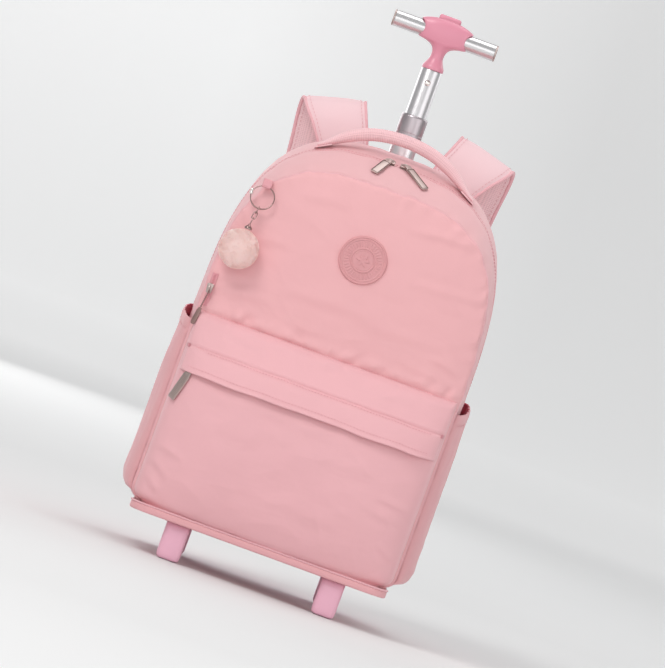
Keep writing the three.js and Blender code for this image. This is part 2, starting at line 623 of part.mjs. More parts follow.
// Hangs a flat pull between two points, its face turned to `face`.
function pull(name, from, to, width, face) {
  const d = V(to).sub(V(from));
  pose(node(name, "pull_metal", slab(d.length(), width, 1.8, true)), V(from).toArray(), d.toArray(), face);
}
const off = (at, face, by) => V(at).addScaledVector(V(face).normalize(), by).toArray();
for (const [side, m, end] of [["left", -1, [-21, -36]], ["right", 1, [36, -33]]]) {
  const x = 8.5 * m, z = topZ(x, ZIP_Y), up = [0, -0.45, 0.893];
  slider("main_slider_" + side, [x, ZIP_Y, z], up, [m, 0, -0.01]);
  pull("main_pull_" + side, off([x + m, ZIP_Y - 1, z], up, 8.8), off([end[0], end[1], topZ(...end)], up, 3), 9, up);
}
{
  const at = [-118.5, pocketY(-118.5, 199) - 1.5, 199], face = facing(pocketY, -118.5, 199);
  const s = sliderShape();
  s.scale(0.8, 0.28, 0.45);
  pose(node("pocket_slider", "pull_metal", s), off(at, face, 0.95), [-1, 0, 0], face.toArray());
  const low = facing(pocketY, -134, 172).toArray();
  pull("pocket_pull", off([-128.6, pocketY(-128.6, 193.4), 193.4], low, 3.2), off([-137.4, pocketY(-137.4, 160), 160], low, 3.4), 10, low);
}
{
  // short upright zip at the left edge of the front panel, above the side pocket
  const zx = -140, zs = [262, 268, 274, 280, 286, 292, 298];
  node("side_zip", "zip_tape", loft(zs.map((z) => [[-2.6, -1.1], [2.6, -1.1], [2.6, -2], [-2.6, -2]].map(([a, b]) => [zx + a, panelY(zx + a, z) + b, z]))));
  const face = facing(panelY, zx, 281).toArray();
  slider("side_slider", [zx, panelY(zx, 281) - 2, 281], face, [0, 0, -1]);
  pull("side_pull", off([zx, panelY(zx, 279), 279], face, 10.4), [-145.6, panelY(-143, 240) - 9.4, 240], 8, [-0.35, -1, 0]);
}

// ---- key ring with a pompom
function torus(path, wire, seg) {
  // path(t) gives a centre and the two directions across it
  const n = seg;
  return loft(Array.from({ length: n }, (_, i) => {
    const { p, u, v } = path((2 * Math.PI * i) / n);
    return Array.from({ length: 5 }, (_, k) => {
      const a = (2 * Math.PI * k) / 5;
      return [0, 1, 2].map((q) => p[q] + wire * (Math.cos(a) * u[q] + Math.sin(a) * v[q]));
    });
  }), true);
}
{
  const { x, ringZ, ringR, wire, y, lean } = KEY;
  const ring = node("key_ring", "ring_steel", torus((a) => ({
    p: [ringR * Math.cos(a), 0, ringR * Math.sin(a)], u: [Math.cos(a), 0, Math.sin(a)], v: [0, 1, 0],
  }), wire, 26));
  ring.position.set(x, y, ringZ);
  ring.rotation.x = -lean;
  const reach = [ringR * Math.sin(lean), ringR * Math.cos(lean)]; // the leaning ring's top and bottom wires
  // fabric tab that holds the ring, a flat loop round its upper wire
  node("key_loop", "webbing", wall(
    ...[4.2, 2.9].map((r) => Array.from({ length: 12 }, (_, i) => {
      const a = (2 * Math.PI * i) / 12;
      return [-2.6, 2.6].map((dx) => [x + dx, y + reach[0] + r * Math.cos(a), ringZ + reach[1] + 0.7 + r * Math.sin(a)]);
    })), true));
  const count = 3, pitch = 6.5;
  const wireAt = new THREE.Vector3(x, y - reach[0], ringZ - reach[1]);
  const dir = new THREE.Vector3(POMPOM.x + 1.5, POMPOM.y + 1.5, POMPOM.z + POMPOM.r).sub(wireAt).normalize();
  const first = wireAt.clone().addScaledVector(dir, 2.1);
  for (let k = 0; k < count; k++) {
    const link = node("chain_link_" + (k + 1), "ring_steel", torus((a) => {
      const c = Math.cos(a), s = Math.sin(a);
      return { p: [2 * c, 0, 2.1 * Math.sign(s) * (Math.abs(s) > 0.3 ? 1 : Math.abs(s) / 0.3) + 2 * s], u: [c, 0, s], v: [0, 1, 0] };
    }, 0.55, 14));
    const c = first.clone().addScaledVector(dir, k * pitch);
    const f = k % 2 === 0 ? [1, 0.05, 0] : [0, -1, 0.4];
    pose(link, c.toArray(), dir.toArray(), f);
  }
  const capTop = first.clone().addScaledVector(dir, (count - 1) * pitch + 5.3);
  const cap = node("pompom_cap", "ring_steel", turned([{ r: 0, z: -4.2 }, { r: 3.6, z: -4.2 }, { r: 3.4, z: -1.6 }, { r: 1.4, z: -0.6 }, { r: 0, z: -0.5 }], 14));
  cap.position.copy(capTop);
  const ball = new THREE.SphereGeometry(1, 20, 14).rotateX(Math.PI / 2);
  ball.scale(POMPOM.r, POMPOM.ry, POMPOM.r);
  const cut = toManifold(moved(ball, POMPOM.x, POMPOM.y, POMPOM.z)).subtract(toManifold(moved(new THREE.CylinderGeometry(4.4, 4.4, 12, 14).rotateX(Math.PI / 2), capTop.x, capTop.y, capTop.z + 1.3)));
  node("pompom", "fur", fromManifold(cut));
}

// ---- wheels, axle, chassis and feet
{
  const { x: wx, y: wy, r, w } = WHEEL;
  const hw = w / 2;
  const outline = [[41.5, 39.3], [116, 39.3], [126, 52], [126, 84], [119, 92.2], [88.5, 92.2], [41.5, 47]];
  const shape = new THREE.Shape(outline.map(([y, z]) => new THREE.Vector2(y, z)));
  const prism = (from, to) => new THREE.ExtrudeGeometry(shape, { depth: to - from, bevelEnabled: false })
    .applyMatrix4(new THREE.Matrix4().makeBasis(V([0, 1, 0]), V([0, 0, 1]), V([1, 0, 0]))).translate(from, 0, 0);
  let chassis = toManifold(prism(-104, 104));
  for (const m of [-1, 1]) {
    for (const [a, b] of [[wx - hw - 6.5, wx - hw - 0.9], [wx + hw + 0.9, 104]])
      chassis = chassis.add(toManifold(rod("x", 8.5, Math.min(m * a, m * b), Math.max(m * a, m * b), wy, r, 20)));
    const inside = wx - hw - 0.9, outside = wx + hw + 0.9;
    chassis = chassis.subtract(toManifold(rod("x", r + 3, Math.min(m * inside, m * outside), Math.max(m * inside, m * outside), wy, r, 32)));
  }
  chassis = chassis.subtract(toManifold(rod("x", AXLE_R + 0.35, -106, 106, wy, r, 16)));
  chassis = chassis.subtract(toManifold(rod("z", MAST.outerR + 0.4, MAST.z0 - 0.4, 100, 0, MAST_Y, 24)));
  node("chassis", "pink_plastic", fromManifold(chassis));
  node("axle", "aluminium", rod("x", AXLE_R, -107, 107, wy, r, 16));
  for (const [side, m] of [["left", -1], ["right", 1]]) {
    const turn = (rows, seg) => turned(rows, seg).rotateY(Math.PI / 2).translate(m * wx, wy, r);
    node("tyre_" + side, "tyre_pink", turn([
      { r: WHEEL.rimR, z: -hw + 1 }, { r: r - 4.5, z: -hw }, { r: r - 1.2, z: -hw + 2.2 }, { r, z: -hw + 6 },
      { r, z: hw - 6 }, { r: r - 1.2, z: hw - 2.2 }, { r: r - 4.5, z: hw }, { r: WHEEL.rimR, z: hw - 1 },
    ], 28), "wheel_" + side);
    node("hub_" + side, "pink_plastic", turn([
      { r: AXLE_R + 0.5, z: -hw + 0.4 }, { r: 9, z: -hw + 0.4 }, { r: 11, z: -hw + 4.5 }, { r: 20, z: -hw + 4.5 }, { r: WHEEL.rimR - 0.4, z: -hw + 1.4 },
      { r: WHEEL.rimR - 0.4, z: hw - 1.4 }, { r: 20, z: hw - 4.5 }, { r: 11, z: hw - 4.5 }, { r: 9, z: hw - 0.4 }, { r: AXLE_R + 0.5, z: hw - 0.4 },
    ], 28), "wheel_" + side);
  }
}
function foot(m) {
  const { hx, hy, r } = FOOT;
  const section = (inset, z) => {
    const pts = [];
    const a = hx - inset, b = hy - inset, c = Math.max(1, r - inset * 0.5);
    for (const [sx, sy, q] of [[1, 1, 0], [-1, 1, 1], [-1, -1, 2], [1, -1, 3]])
      for (let k = 0; k <= 3; k++) {
        const t = (Math.PI / 2) * (q + k / 3);
        pts.push([m * FOOT.x + sx * (a - c) + c * Math.cos(t), FOOT.y + sy * (b - c) + c * Math.sin(t), z]);
      }
    return pts;
  };
  return loft([section(3.4, 0), section(1.2, 1.2), section(0.2, 3.6), section(0, 7), section(0, 38.7)]);
}
node("foot_left", "tyre_pink", foot(-1));
node("foot_right", "tyre_pink", foot(1));

// ---- telescoping mast and T-grip
{
  const M = MAST;
  node("mast_outer", "aluminium", turned([
    { r: M.outerR - M.outerWall, z: M.z0 }, { r: M.outerR, z: M.z0 }, { r: M.outerR, z: M.collarZ0 - GAP }, { r: M.outerR - M.outerWall, z: M.collarZ0 - GAP },
  ], 24)).position.set(0, MAST_Y, 0);
  node("mast_collar", "aluminium", turned([
    { r: M.innerR + 0.6, z: M.collarZ0 }, { r: M.collarR - 0.5, z: M.collarZ0 }, { r: M.collarR, z: M.collarZ0 + 0.8 }, { r: M.collarR, z: M.collarZ1 - 1.2 },
    { r: M.collarR - 1.2, z: M.collarZ1 }, { r: M.innerR + 0.6, z: M.collarZ1 },
  ], 24)).position.set(0, MAST_Y, 0);
  const tube = toManifold(turned([
    { r: M.innerR - 1.4, z: M.innerZ0 }, { r: M.innerR, z: M.innerZ0 }, { r: M.innerR, z: M.innerZ1 }, { r: M.innerR - 1.4, z: M.innerZ1 },
  ], 24)).subtract(toManifold(rod("y", 2.8, -14, 0, 0, 563.5, 14)));
  node("mast_inner", "aluminium", fromManifold(tube), "handle").position.set(0, MAST_Y, 0);
  node("mast_detent", "aluminium", turned([
    { r: 0, z: 0 }, { r: 2.4, z: 0 }, { r: 2.4, z: 2.1 }, { r: 1.4, z: 2.45 }, { r: 0, z: 2.5 },
  ], 14).rotateX(Math.PI / 2), "handle").position.set(0, MAST_Y - M.innerR + 2.3, 563.5);
}
{
  const oval = (a, b, z, n, e) => Array.from({ length: n }, (_, k) => {
    const t = (2 * Math.PI * k) / n, c = Math.cos(t), s = Math.sin(t);
    return [a * Math.sign(c) * Math.abs(c) ** e, MAST_Y + b * Math.sign(s) * Math.abs(s) ** e, z];
  });
  let core = toManifold(loft(GRIP.map((g) => oval(g.a, g.b, g.z, 20, g.z < 600 ? 1 : 0.85))));
  core = core.subtract(toManifold(rod("x", BAR.r + 0.35, -60, 60, MAST_Y, BAR.z, 24)));
  for (const m of [-1, 1]) core = core.subtract(toManifold(rod("y", 10.9, MAST_Y - 20, MAST_Y + 20, m * 33.8, BAR.z, 28)));
  core = core.subtract(toManifold(moved(new THREE.BoxGeometry(2 * BUTTON.hx + 1, 2 * BUTTON.hy + 1, 12), 0, MAST_Y, BUTTON.z0 - BUTTON.travel - 0.4 + 6)));
  // only the piece that joins the neck stays: the scoops can leave thin crescents
  const bodies = core.decompose().sort((p, q) => q.volume() - p.volume());
  node("grip_core", "pink_plastic", fromManifold(bodies[0]), "handle");
  node("grip_bar", "aluminium", rod("x", BAR.r, -BAR.half + 2, BAR.half - 2, MAST_Y, BAR.z, 24), "handle");
  for (const [side, m] of [["left", -1], ["right", 1]]) {
    const a = m * (BAR.half - 2 + GAP), b = m * BAR.half;
    node("grip_cap_" + side, "pull_metal", rod("x", BAR.r - 0.2, Math.min(a, b), Math.max(a, b), MAST_Y, BAR.z, 24), "handle");
  }
  const s = new THREE.Shape(), { hx, hy, z0, z1 } = BUTTON, r = 3.4;
  s.moveTo(-hx + r, -hy).lineTo(hx - r, -hy).quadraticCurveTo(hx, -hy, hx, -hy + r).lineTo(hx, hy - r).quadraticCurveTo(hx, hy, hx - r, hy);
  s.lineTo(-hx + r, hy).quadraticCurveTo(-hx, hy, -hx, hy - r).lineTo(-hx, -hy + r).quadraticCurveTo(-hx, -hy, -hx + r, -hy);
  node("grip_button", "pink_plastic", new THREE.ExtrudeGeometry(s, { depth: z1 - z0, bevelEnabled: false, curveSegments: 4 }).translate(0, MAST_Y, z0), "button");
}

root.position.set(FRAME_X, FRAME_Y, 0);
export default root;
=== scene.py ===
# Wheeled backpack with a telescoping T-handle: surfaces, materials, light and camera.
# Shapes are worked out in millimetres in the part's own drawing frame and written in metres in the row frame.
import math

import bmesh
import bpy
import numpy as np
from mathutils import Matrix, Vector


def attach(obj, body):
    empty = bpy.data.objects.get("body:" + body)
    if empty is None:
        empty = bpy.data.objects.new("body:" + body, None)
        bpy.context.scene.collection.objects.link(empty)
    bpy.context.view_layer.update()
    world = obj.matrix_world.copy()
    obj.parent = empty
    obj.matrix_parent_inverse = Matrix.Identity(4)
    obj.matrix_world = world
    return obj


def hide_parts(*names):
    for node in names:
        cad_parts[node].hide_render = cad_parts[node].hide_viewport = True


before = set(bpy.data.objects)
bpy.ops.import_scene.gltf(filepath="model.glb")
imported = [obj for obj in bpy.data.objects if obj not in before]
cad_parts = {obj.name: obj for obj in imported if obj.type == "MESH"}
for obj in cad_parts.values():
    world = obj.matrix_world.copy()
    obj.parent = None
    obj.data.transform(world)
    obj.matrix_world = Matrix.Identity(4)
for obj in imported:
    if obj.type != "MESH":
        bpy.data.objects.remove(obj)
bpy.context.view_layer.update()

FY = -26.42  # drawing frame to row frame, along Y
SPRING_Z, CORNER_R, GAP = 259.0, 16.0, 0.3
ZIP_Y, ZIP_LOW = -8.0, 236.0


# ------------------------------------------------------------------ numbers
def lin(r, g, b):
    f = lambda c: c / 12.92 if c <= 0.04045 else ((c + 0.055) / 1.055) ** 2.4
    return tuple(f(c / 255.0) for c in (r, g, b))


def metres(p):
    q = np.array(p, float).reshape(-1, 3)
    q[:, 1] += FY
    return q * 1e-3


def smooth_table(rows, per=40):
    """A dense copy of a table's rows, through every row, smooth between them."""
    a = np.array(rows, float)
    out = []
    for i in range(len(a) - 1):
        p1, p2 = a[i], a[i + 1]
        p0 = a[i - 1] if i else 2 * p1 - p2
        p3 = a[i + 2] if i + 2 < len(a) else 2 * p2 - p1
        for k in range(per):
            t = k / per
            out.append(0.5 * (2 * p1 + (p2 - p0) * t + (2 * p0 - 5 * p1 + 4 * p2 - p3) * t * t + (3 * p1 - p0 - 3 * p2 + p3) * t**3))
    out.append(a[-1])
    return np.array(out)


def unit(v):
    v = np.asarray(v, float)
    n = np.linalg.norm(v, axis=-1, keepdims=True)
    return v / np.where(n < 1e-12, 1, n)


def step(a, b, x):
    t = np.clip((np.asarray(x, float) - a) / (b - a), 0, 1)
    return t * t * (3 - 2 * t)


def waves(p, lam, seed, n=14, stretch=(1, 1, 1)):
    """Smooth noise of about that wavelength in mm, roughly -1 to 1."""
    r = np.random.RandomState(seed)
    q = np.asarray(p, float) * np.array(stretch)
    out = np.zeros(q.shape[:-1])
    for _ in range(n):
        d = unit(r.normal(size=3))
        out = out + np.sin(q @ d * (2 * np.pi / (lam * r.uniform(0.72, 1.4))) + r.uniform(0, 6.283))
    return out / math.sqrt(n)


def crinkle(p, lam, seed, stretch=(1, 1, 1)):
    """Softly creased cloth: rounded ridges with narrow valleys."""
    a = waves(p, lam, seed, stretch=stretch)
    b = waves(p, lam * 0.5, seed + 1, stretch=stretch)
    c = waves(p, lam * 0.25, seed + 2, stretch=stretch)
    return 0.6 * a + 0.3 * (1 - 2 * np.abs(np.tanh(1.2 * b))) + 0.14 * c


def fold(x, z, a, b, width, amp, bow=0.0):
    """A soft crease from a to b in the plane of x and z."""
    (ax, az), (bx, bz) = a, b
    length = math.hypot(bx - ax, bz - az)
    ux, uz = (bx - ax) / length, (bz - az) / length
    t = ((x - ax) * ux + (z - az) * uz) / length
    d = -(x - ax) * uz + (z - az) * ux - bow * np.sin(np.pi * np.clip(t, 0, 1))
    ends = np.where((t > 0) & (t < 1), np.sin(np.pi * np.clip(t, 0, 1)) ** 0.8, 0)
    return amp * ends * (np.exp(-((d / width) ** 2)) - 0.6 * np.exp(-(((d + 1.6 * width) / (1.1 * width)) ** 2)))


# ------------------------------------------------------------------ mesh building
class Acc:
    """Collects vertices, faces, material numbers and texture coordinates of one piece."""

    def __init__(self):
        self.v, self.f, self.m, self.uv, self.n = [], [], [], [], 0

    def add(self, v, f, mat=0, uv=None):
        v = np.asarray(v, float).reshape(-1, 3)
        self.v.append(v)
        self.f.extend([tuple(int(i) + self.n for i in q) for q in f])
        self.m.extend([mat] * len(f) if np.isscalar(mat) else list(mat))
        count = sum(len(q) for q in f)
        self.uv.append(np.zeros((count, 2)) if uv is None else np.asarray(uv, float).reshape(count, 2))
        self.n += len(v)
        return self

    def build(self, name, mats, body="bag", replaces=(), smooth=True, angle=None):
        me = bpy.data.meshes.new(name)
        me.from_pydata(metres(np.concatenate(self.v)).tolist(), [], self.f)
        for m in mats:
            me.materials.append(m)
        me.polygons.foreach_set("material_index", self.m)
        me.polygons.foreach_set("use_smooth", [bool(smooth)] * len(self.f))
        layer = me.uv_layers.new(name="UVMap")
        layer.data.foreach_set("uv", (np.concatenate(self.uv) / 100.0).ravel())
        me.update()
        bm = bmesh.new()
        bm.from_mesh(me)
        bmesh.ops.recalc_face_normals(bm, faces=bm.faces)
        bm.to_mesh(me)
        bm.free()
        if angle:
            me.set_sharp_from_angle(angle=math.radians(angle))
        ob = bpy.data.objects.new(name, me)
        bpy.context.scene.collection.objects.link(ob)
        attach(ob, body)
        if replaces:
            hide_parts(*replaces)
        return ob


def quads(ni, nj, wrap_i=False, wrap_j=False):
    i = np.arange(ni if wrap_i else ni - 1)
    j = np.arange(nj if wrap_j else nj - 1)
    a, b = np.meshgrid(i, j, indexing="ij")
    a, b = a.ravel(), b.ravel()
    c, d = (a + 1) % ni, (b + 1) % nj
    return np.stack([a * nj + b, c * nj + b, c * nj + d, a * nj + d], 1), (a, b)


def grid_uv(ij, u, v):
    """Corner coordinates for quads(): u and v each have one more entry than the last index used."""
    a, b = ij
    return np.stack([np.stack([u[a], v[b]], 1), np.stack([u[a + 1], v[b]], 1), np.stack([u[a + 1], v[b + 1]], 1), np.stack([u[a], v[b + 1]], 1)], 1).reshape(-1, 2)


def lengths(p):
    return np.concatenate([[0], np.cumsum(np.linalg.norm(np.diff(p, axis=0), axis=1))])


def normals(g, wrap_i=False, wrap_j=False):
    def diff(a, axis, wrap):
        if wrap:
            return np.roll(a, -1, axis) - np.roll(a, 1, axis)
        return np.gradient(a, axis=axis)

    return unit(np.cross(diff(g, 0, wrap_i), diff(g, 1, wrap_j)))


def sheet_of(acc, outer, thick, face=None, wrap_i=False, mat=0, inner_mat=None, uv=None):
    """A closed cloth wall: the grid is its outer face, and its rims are rounded. face is a point the outer face looks away from, or a sign."""
    ni, nj = outer.shape[:2]
    n = normals(outer, wrap_i)
    if face is not None:
        if np.isscalar(face):
            n = n * face
        else:
            away = np.sum((outer - np.array(face, float)) * n)
            n = n * (1 if away > 0 else -1)
    inner = outer - n * thick
    def rim(o, i, o2):
        return (o + i) / 2 + unit(o - o2) * thick * 0.5
    r0 = rim(outer[:, 0], inner[:, 0], outer[:, 1])
    r1 = rim(outer[:, -1], inner[:, -1], outer[:, -2])
    loop = np.concatenate([outer, r1[:, None], inner[:, ::-1], r0[:, None]], 1)
    m = loop.shape[1]
    f, ij = quads(ni, m, wrap_i, True)
    u = lengths(outer[:, nj // 2])
    u = np.append(u, u[-1] + (np.linalg.norm(outer[0, nj // 2] - outer[-1, nj // 2]) if wrap_i else 0))
    v1 = lengths(outer[ni // 2])
    v = np.concatenate([v1, [v1[-1] + thick], v1[-1] + thick * 2 + v1, [2 * v1[-1] + thick * 3, 2 * v1[-1] + thick * 4]])
    mats = np.full(len(f), mat)
    if inner_mat is not None:
        mats[(ij[1] >= nj + 0) & (ij[1] < m - 1)] = inner_mat
    acc.add(loop, f, mats, grid_uv(ij, u, v))
    if not wrap_i:
        for i, order in ((0, 1), (ni - 1, -1)):
            o, q = outer[i], inner[i]
            pts = np.concatenate([o, q])
            fs = [(j, j + 1, nj + j + 1, nj + j)[::order] for j in range(nj - 1)]
            k = [(0, nj, 2 * nj)[::order], (nj - 1, 2 * nj + 1, 2 * nj - 1)[::order]]
            pts = np.concatenate([pts, [r0[i]], [r1[i]]])
            acc.add(pts, fs + k, mat)
    return n


def weld(ob, dist=2e-6):
    bm = bmesh.new()
    bm.from_mesh(ob.data)
    bmesh.ops.remove_doubles(bm, verts=bm.verts, dist=dist)
    bmesh.ops.recalc_face_normals(bm, faces=bm.faces)
    bm.to_mesh(ob.data)
    bm.free()
    return ob


def frames_along(path, closed=False, up=(0, 0, 1)):
    """Two directions across a path, kept from twisting."""
    p = np.asarray(path, float)
    t = unit(np.roll(p, -1, 0) - np.roll(p, 1, 0)) if closed else unit(np.gradient(p, axis=0))
    a = np.array(up, float)
    us = []
    for k in range(len(p)):
        a = a - t[k] * np.dot(a, t[k])
        if np.linalg.norm(a) < 1e-6:
            a = np.cross(t[k], [1, 0.3, 0.2])
        a = unit(a)
        us.append(a)
    us = np.array(us)
    return us, np.cross(t, us)


def tube(acc, path, radius, seg=10, closed=False, mat=0, up=(0, 0, 1), flat=1.0, caps=True):
    p = np.asarray(path, float)
    u, w = frames_along(p, closed, up)
    r = np.broadcast_to(np.asarray(radius, float), (len(p),))
    a = np.linspace(0, 2 * np.pi, seg, endpoint=False)
    ring = p[:, None] + r[:, None, None] * (np.cos(a)[None, :, None] * u[:, None] * flat + np.sin(a)[None, :, None] * w[:, None])
    f, ij = quads(len(p), seg, closed, True)
    s = np.append(lengths(p), lengths(p)[-1] + 1)
    v = np.linspace(0, 2 * np.pi * float(np.mean(r)), seg + 1)
    acc.add(ring, f, mat, grid_uv(ij, s, v))
    if not closed and caps:
        for k, order in ((0, -1), (len(p) - 1, 1)):
            q = np.concatenate([ring[k], [p[k]]])
            acc.add(q, [(i, (i + 1) % seg, seg)[::order] for i in range(seg)], mat)
    return acc


def lathe(acc, rows, centre=(0, 0, 0), axis="z", seg=72, mat=0):
    """A turned solid. rows are (radius, height along the axis); a radius of 0 closes on the axis."""
    rows = np.array(rows, float)
    a = np.linspace(0, 2 * np.pi, seg, endpoint=False)
    on0, on1 = rows[0][0] < 1e-9, rows[-1][0] < 1e-9
    body = rows[1 if on0 else 0 : len(rows) - 1 if on1 else len(rows)]
    r, z = body[:, 0], body[:, 1]
    g = np.stack([np.cos(a)[:, None] * r, np.sin(a)[:, None] * r, np.broadcast_to(z, (seg, len(z)))], -1)

    def place(q):
        if axis == "x":
            q = q[..., [2, 0, 1]]
        elif axis == "y":
            q = q[..., [1, 2, 0]]
        return q + np.array(centre, float)

    f, ij = quads(seg, len(z), True, not (on0 or on1))
    u = np.linspace(0, 2 * np.pi * max(r), seg + 1)
    v = lengths(np.stack([r, z], 1))
    v = np.append(v, v[-1] + np.linalg.norm(body[0] - body[-1]))
    acc.add(place(g), f, mat, grid_uv(ij, u, v))
    for on, row, col in ((on0, rows[0], 0), (on1, rows[-1], -1)):
        if on:
            q = np.concatenate([g[:, col], [[0, 0, row[1]]]])
            acc.add(place(q), [(i, (i + 1) % seg, seg) for i in range(seg)], mat)
    return acc


def blocks(acc, size, at=(0, 0, 0), rot=None, bevel=0.6, segments=2, mat=0):
    """A box with rounded edges."""
    bm = bmesh.new()
    bmesh.ops.create_cube(bm, size=1)
    for v in bm.verts:
        v.co = Vector((v.co.x * size[0], v.co.y * size[1], v.co.z * size[2]))
    bmesh.ops.bevel(bm, geom=bm.edges[:], offset=bevel, segments=segments, profile=0.5, affect="EDGES")
    take(acc, bm, at, rot, mat)


def take(acc, bm, at=(0, 0, 0), rot=None, mat=0):
    bm.verts.index_update()
    v = np.array([v.co[:] for v in bm.verts])
    f = [tuple(q.index for q in p.verts) for p in bm.faces]
    bm.free()
    if rot is not None:
        v = v @ np.array(rot).T
    acc.add(v + np.array(at, float), f, mat)


def plate(acc, outline, thick, at=(0, 0, 0), rot=None, bevel=0.4, segments=2, mat=0, hole=None):
    """A flat plate: outline is a list of (x, z), its front face at y = 0 and its back at y = thick."""
    bm = bmesh.new()
    vs = [bm.verts.new((x, 0, z)) for x, z in outline]
    face = bm.faces.new(vs)
    r = bmesh.ops.extrude_face_region(bm, geom=[face])
    for v in r["geom"]:
        if isinstance(v, bmesh.types.BMVert):
            v.co.y += thick
    bmesh.ops.recalc_face_normals(bm, faces=bm.faces)
    rim = [e for e in bm.edges if abs(e.verts[0].co.y - e.verts[1].co.y) < 1e-6]
    bmesh.ops.bevel(bm, geom=rim, offset=bevel, segments=segments, profile=0.5, affect="EDGES")
    take(acc, bm, at, rot, mat)


def basis(down, face):
    """Columns x, y, z of an object whose own -Z runs along down and whose -Y looks along face."""
    z = -unit(down)
    f = np.array(face, float)
    y = -unit(f - z * np.dot(f, z))
    return np.stack([np.cross(y, z), y, z], 1)


def stitches(acc, path, out, pitch=3.6, length=2.5, r=0.3, mat=0, closed=False):
    """A row of thread stitches along a path; out is the direction off the cloth at each point."""
    p = np.asarray(path, float)
    out = np.broadcast_to(np.asarray(out, float), p.shape)
    if closed:
        p, out = np.vstack([p, p[:1]]), np.vstack([out, out[:1]])
    s = lengths(p)
    a = np.linspace(0, 2 * np.pi, 6, endpoint=False)
    prof = [(0.0, 0.25, -0.5), (0.18, 0.9, 0.25), (0.5, 1.0, 0.55), (0.82, 0.9, 0.25), (1.0, 0.25, -0.5)]
    f, _ = quads(len(prof), 6, False, True)
    f = [tuple(q) for q in f] + [(5, 4, 3, 2, 1, 0), tuple(range(24, 30))]
    for k in range(int((s[-1] - length) / pitch) + 1):
        s0 = k * pitch
        pts = []
        for t, w, h in prof:
            q = s0 + length * t
            c = np.array([np.interp(q, s, p[:, i]) for i in range(3)])
            c2 = np.array([np.interp(min(q + 0.2, s[-1]), s, p[:, i]) for i in range(3)])
            c1 = np.array([np.interp(max(q - 0.2, 0), s, p[:, i]) for i in range(3)])
            n = np.array([np.interp(q, s, out[:, i]) for i in range(3)])
            d = unit(c2 - c1)
            n = unit(n - d * np.dot(n, d))
            b = np.cross(d, n)
            pts.append(c + n * r * h + r * w * (np.cos(a)[:, None] * n + np.sin(a)[:, None] * b))
        acc.add(np.concatenate(pts), f, mat)


# ------------------------------------------------------------------ materials
def new_material(name):
    m = bpy.data.materials.new(name)
    m.use_nodes = True
    nt = m.node_tree
    nt.nodes.clear()
    out = nt.nodes.new("ShaderNodeOutputMaterial")
    b = nt.nodes.new("ShaderNodeBsdfPrincipled")
    nt.links.new(b.outputs["BSDF"], out.inputs["Surface"])
    return m, nt, b


class Nodes:
    def __init__(self, nt):
        self.nt = nt

    def new(self, kind, **props):
        n = self.nt.nodes.new(kind)
        for k, v in props.items():
            setattr(n, k, v)
        return n

    def link(self, a, b):
        self.nt.links.new(a, b)

    def math(self, op, a, b=None, clamp=False):
        n = self.new("ShaderNodeMath", operation=op, use_clamp=clamp)
        for i, x in enumerate((a, b)):
            if x is None:
                continue
            if hasattr(x, "is_output"):
                self.link(x, n.inputs[i])
            else:
                n.inputs[i].default_value = x
        return n.outputs[0]

    def noise(self, vector, scale, detail=3, rough=0.55):
        n = self.new("ShaderNodeTexNoise")
        n.inputs["Scale"].default_value = scale
        n.inputs["Detail"].default_value = detail
        n.inputs["Roughness"].default_value = rough
        self.link(vector, n.inputs["Vector"])
        return n.outputs["Fac"]

    def mix(self, fac, a, b):
        n = self.new("ShaderNodeMix", data_type="RGBA")
        self.link(fac, n.inputs["Factor"])
        for key, x in (("A", a), ("B", b)):
            socket = [s for s in n.inputs if s.name == key and s.type == "RGBA"][0]
            if hasattr(x, "is_output"):
                self.link(x, socket)
            else:
                socket.default_value = (*x, 1)
        return [s for s in n.outputs if s.type == "RGBA"][0]

    def bump(self, height, distance, strength=1.0, after=None):
        n = self.new("ShaderNodeBump")
        n.inputs["Distance"].default_value = distance
        n.inputs["Strength"].default_value = strength
        self.link(height, n.inputs["Height"])
        if after is not None:
            self.link(after, n.inputs["Normal"])
        return n.outputs["Normal"]


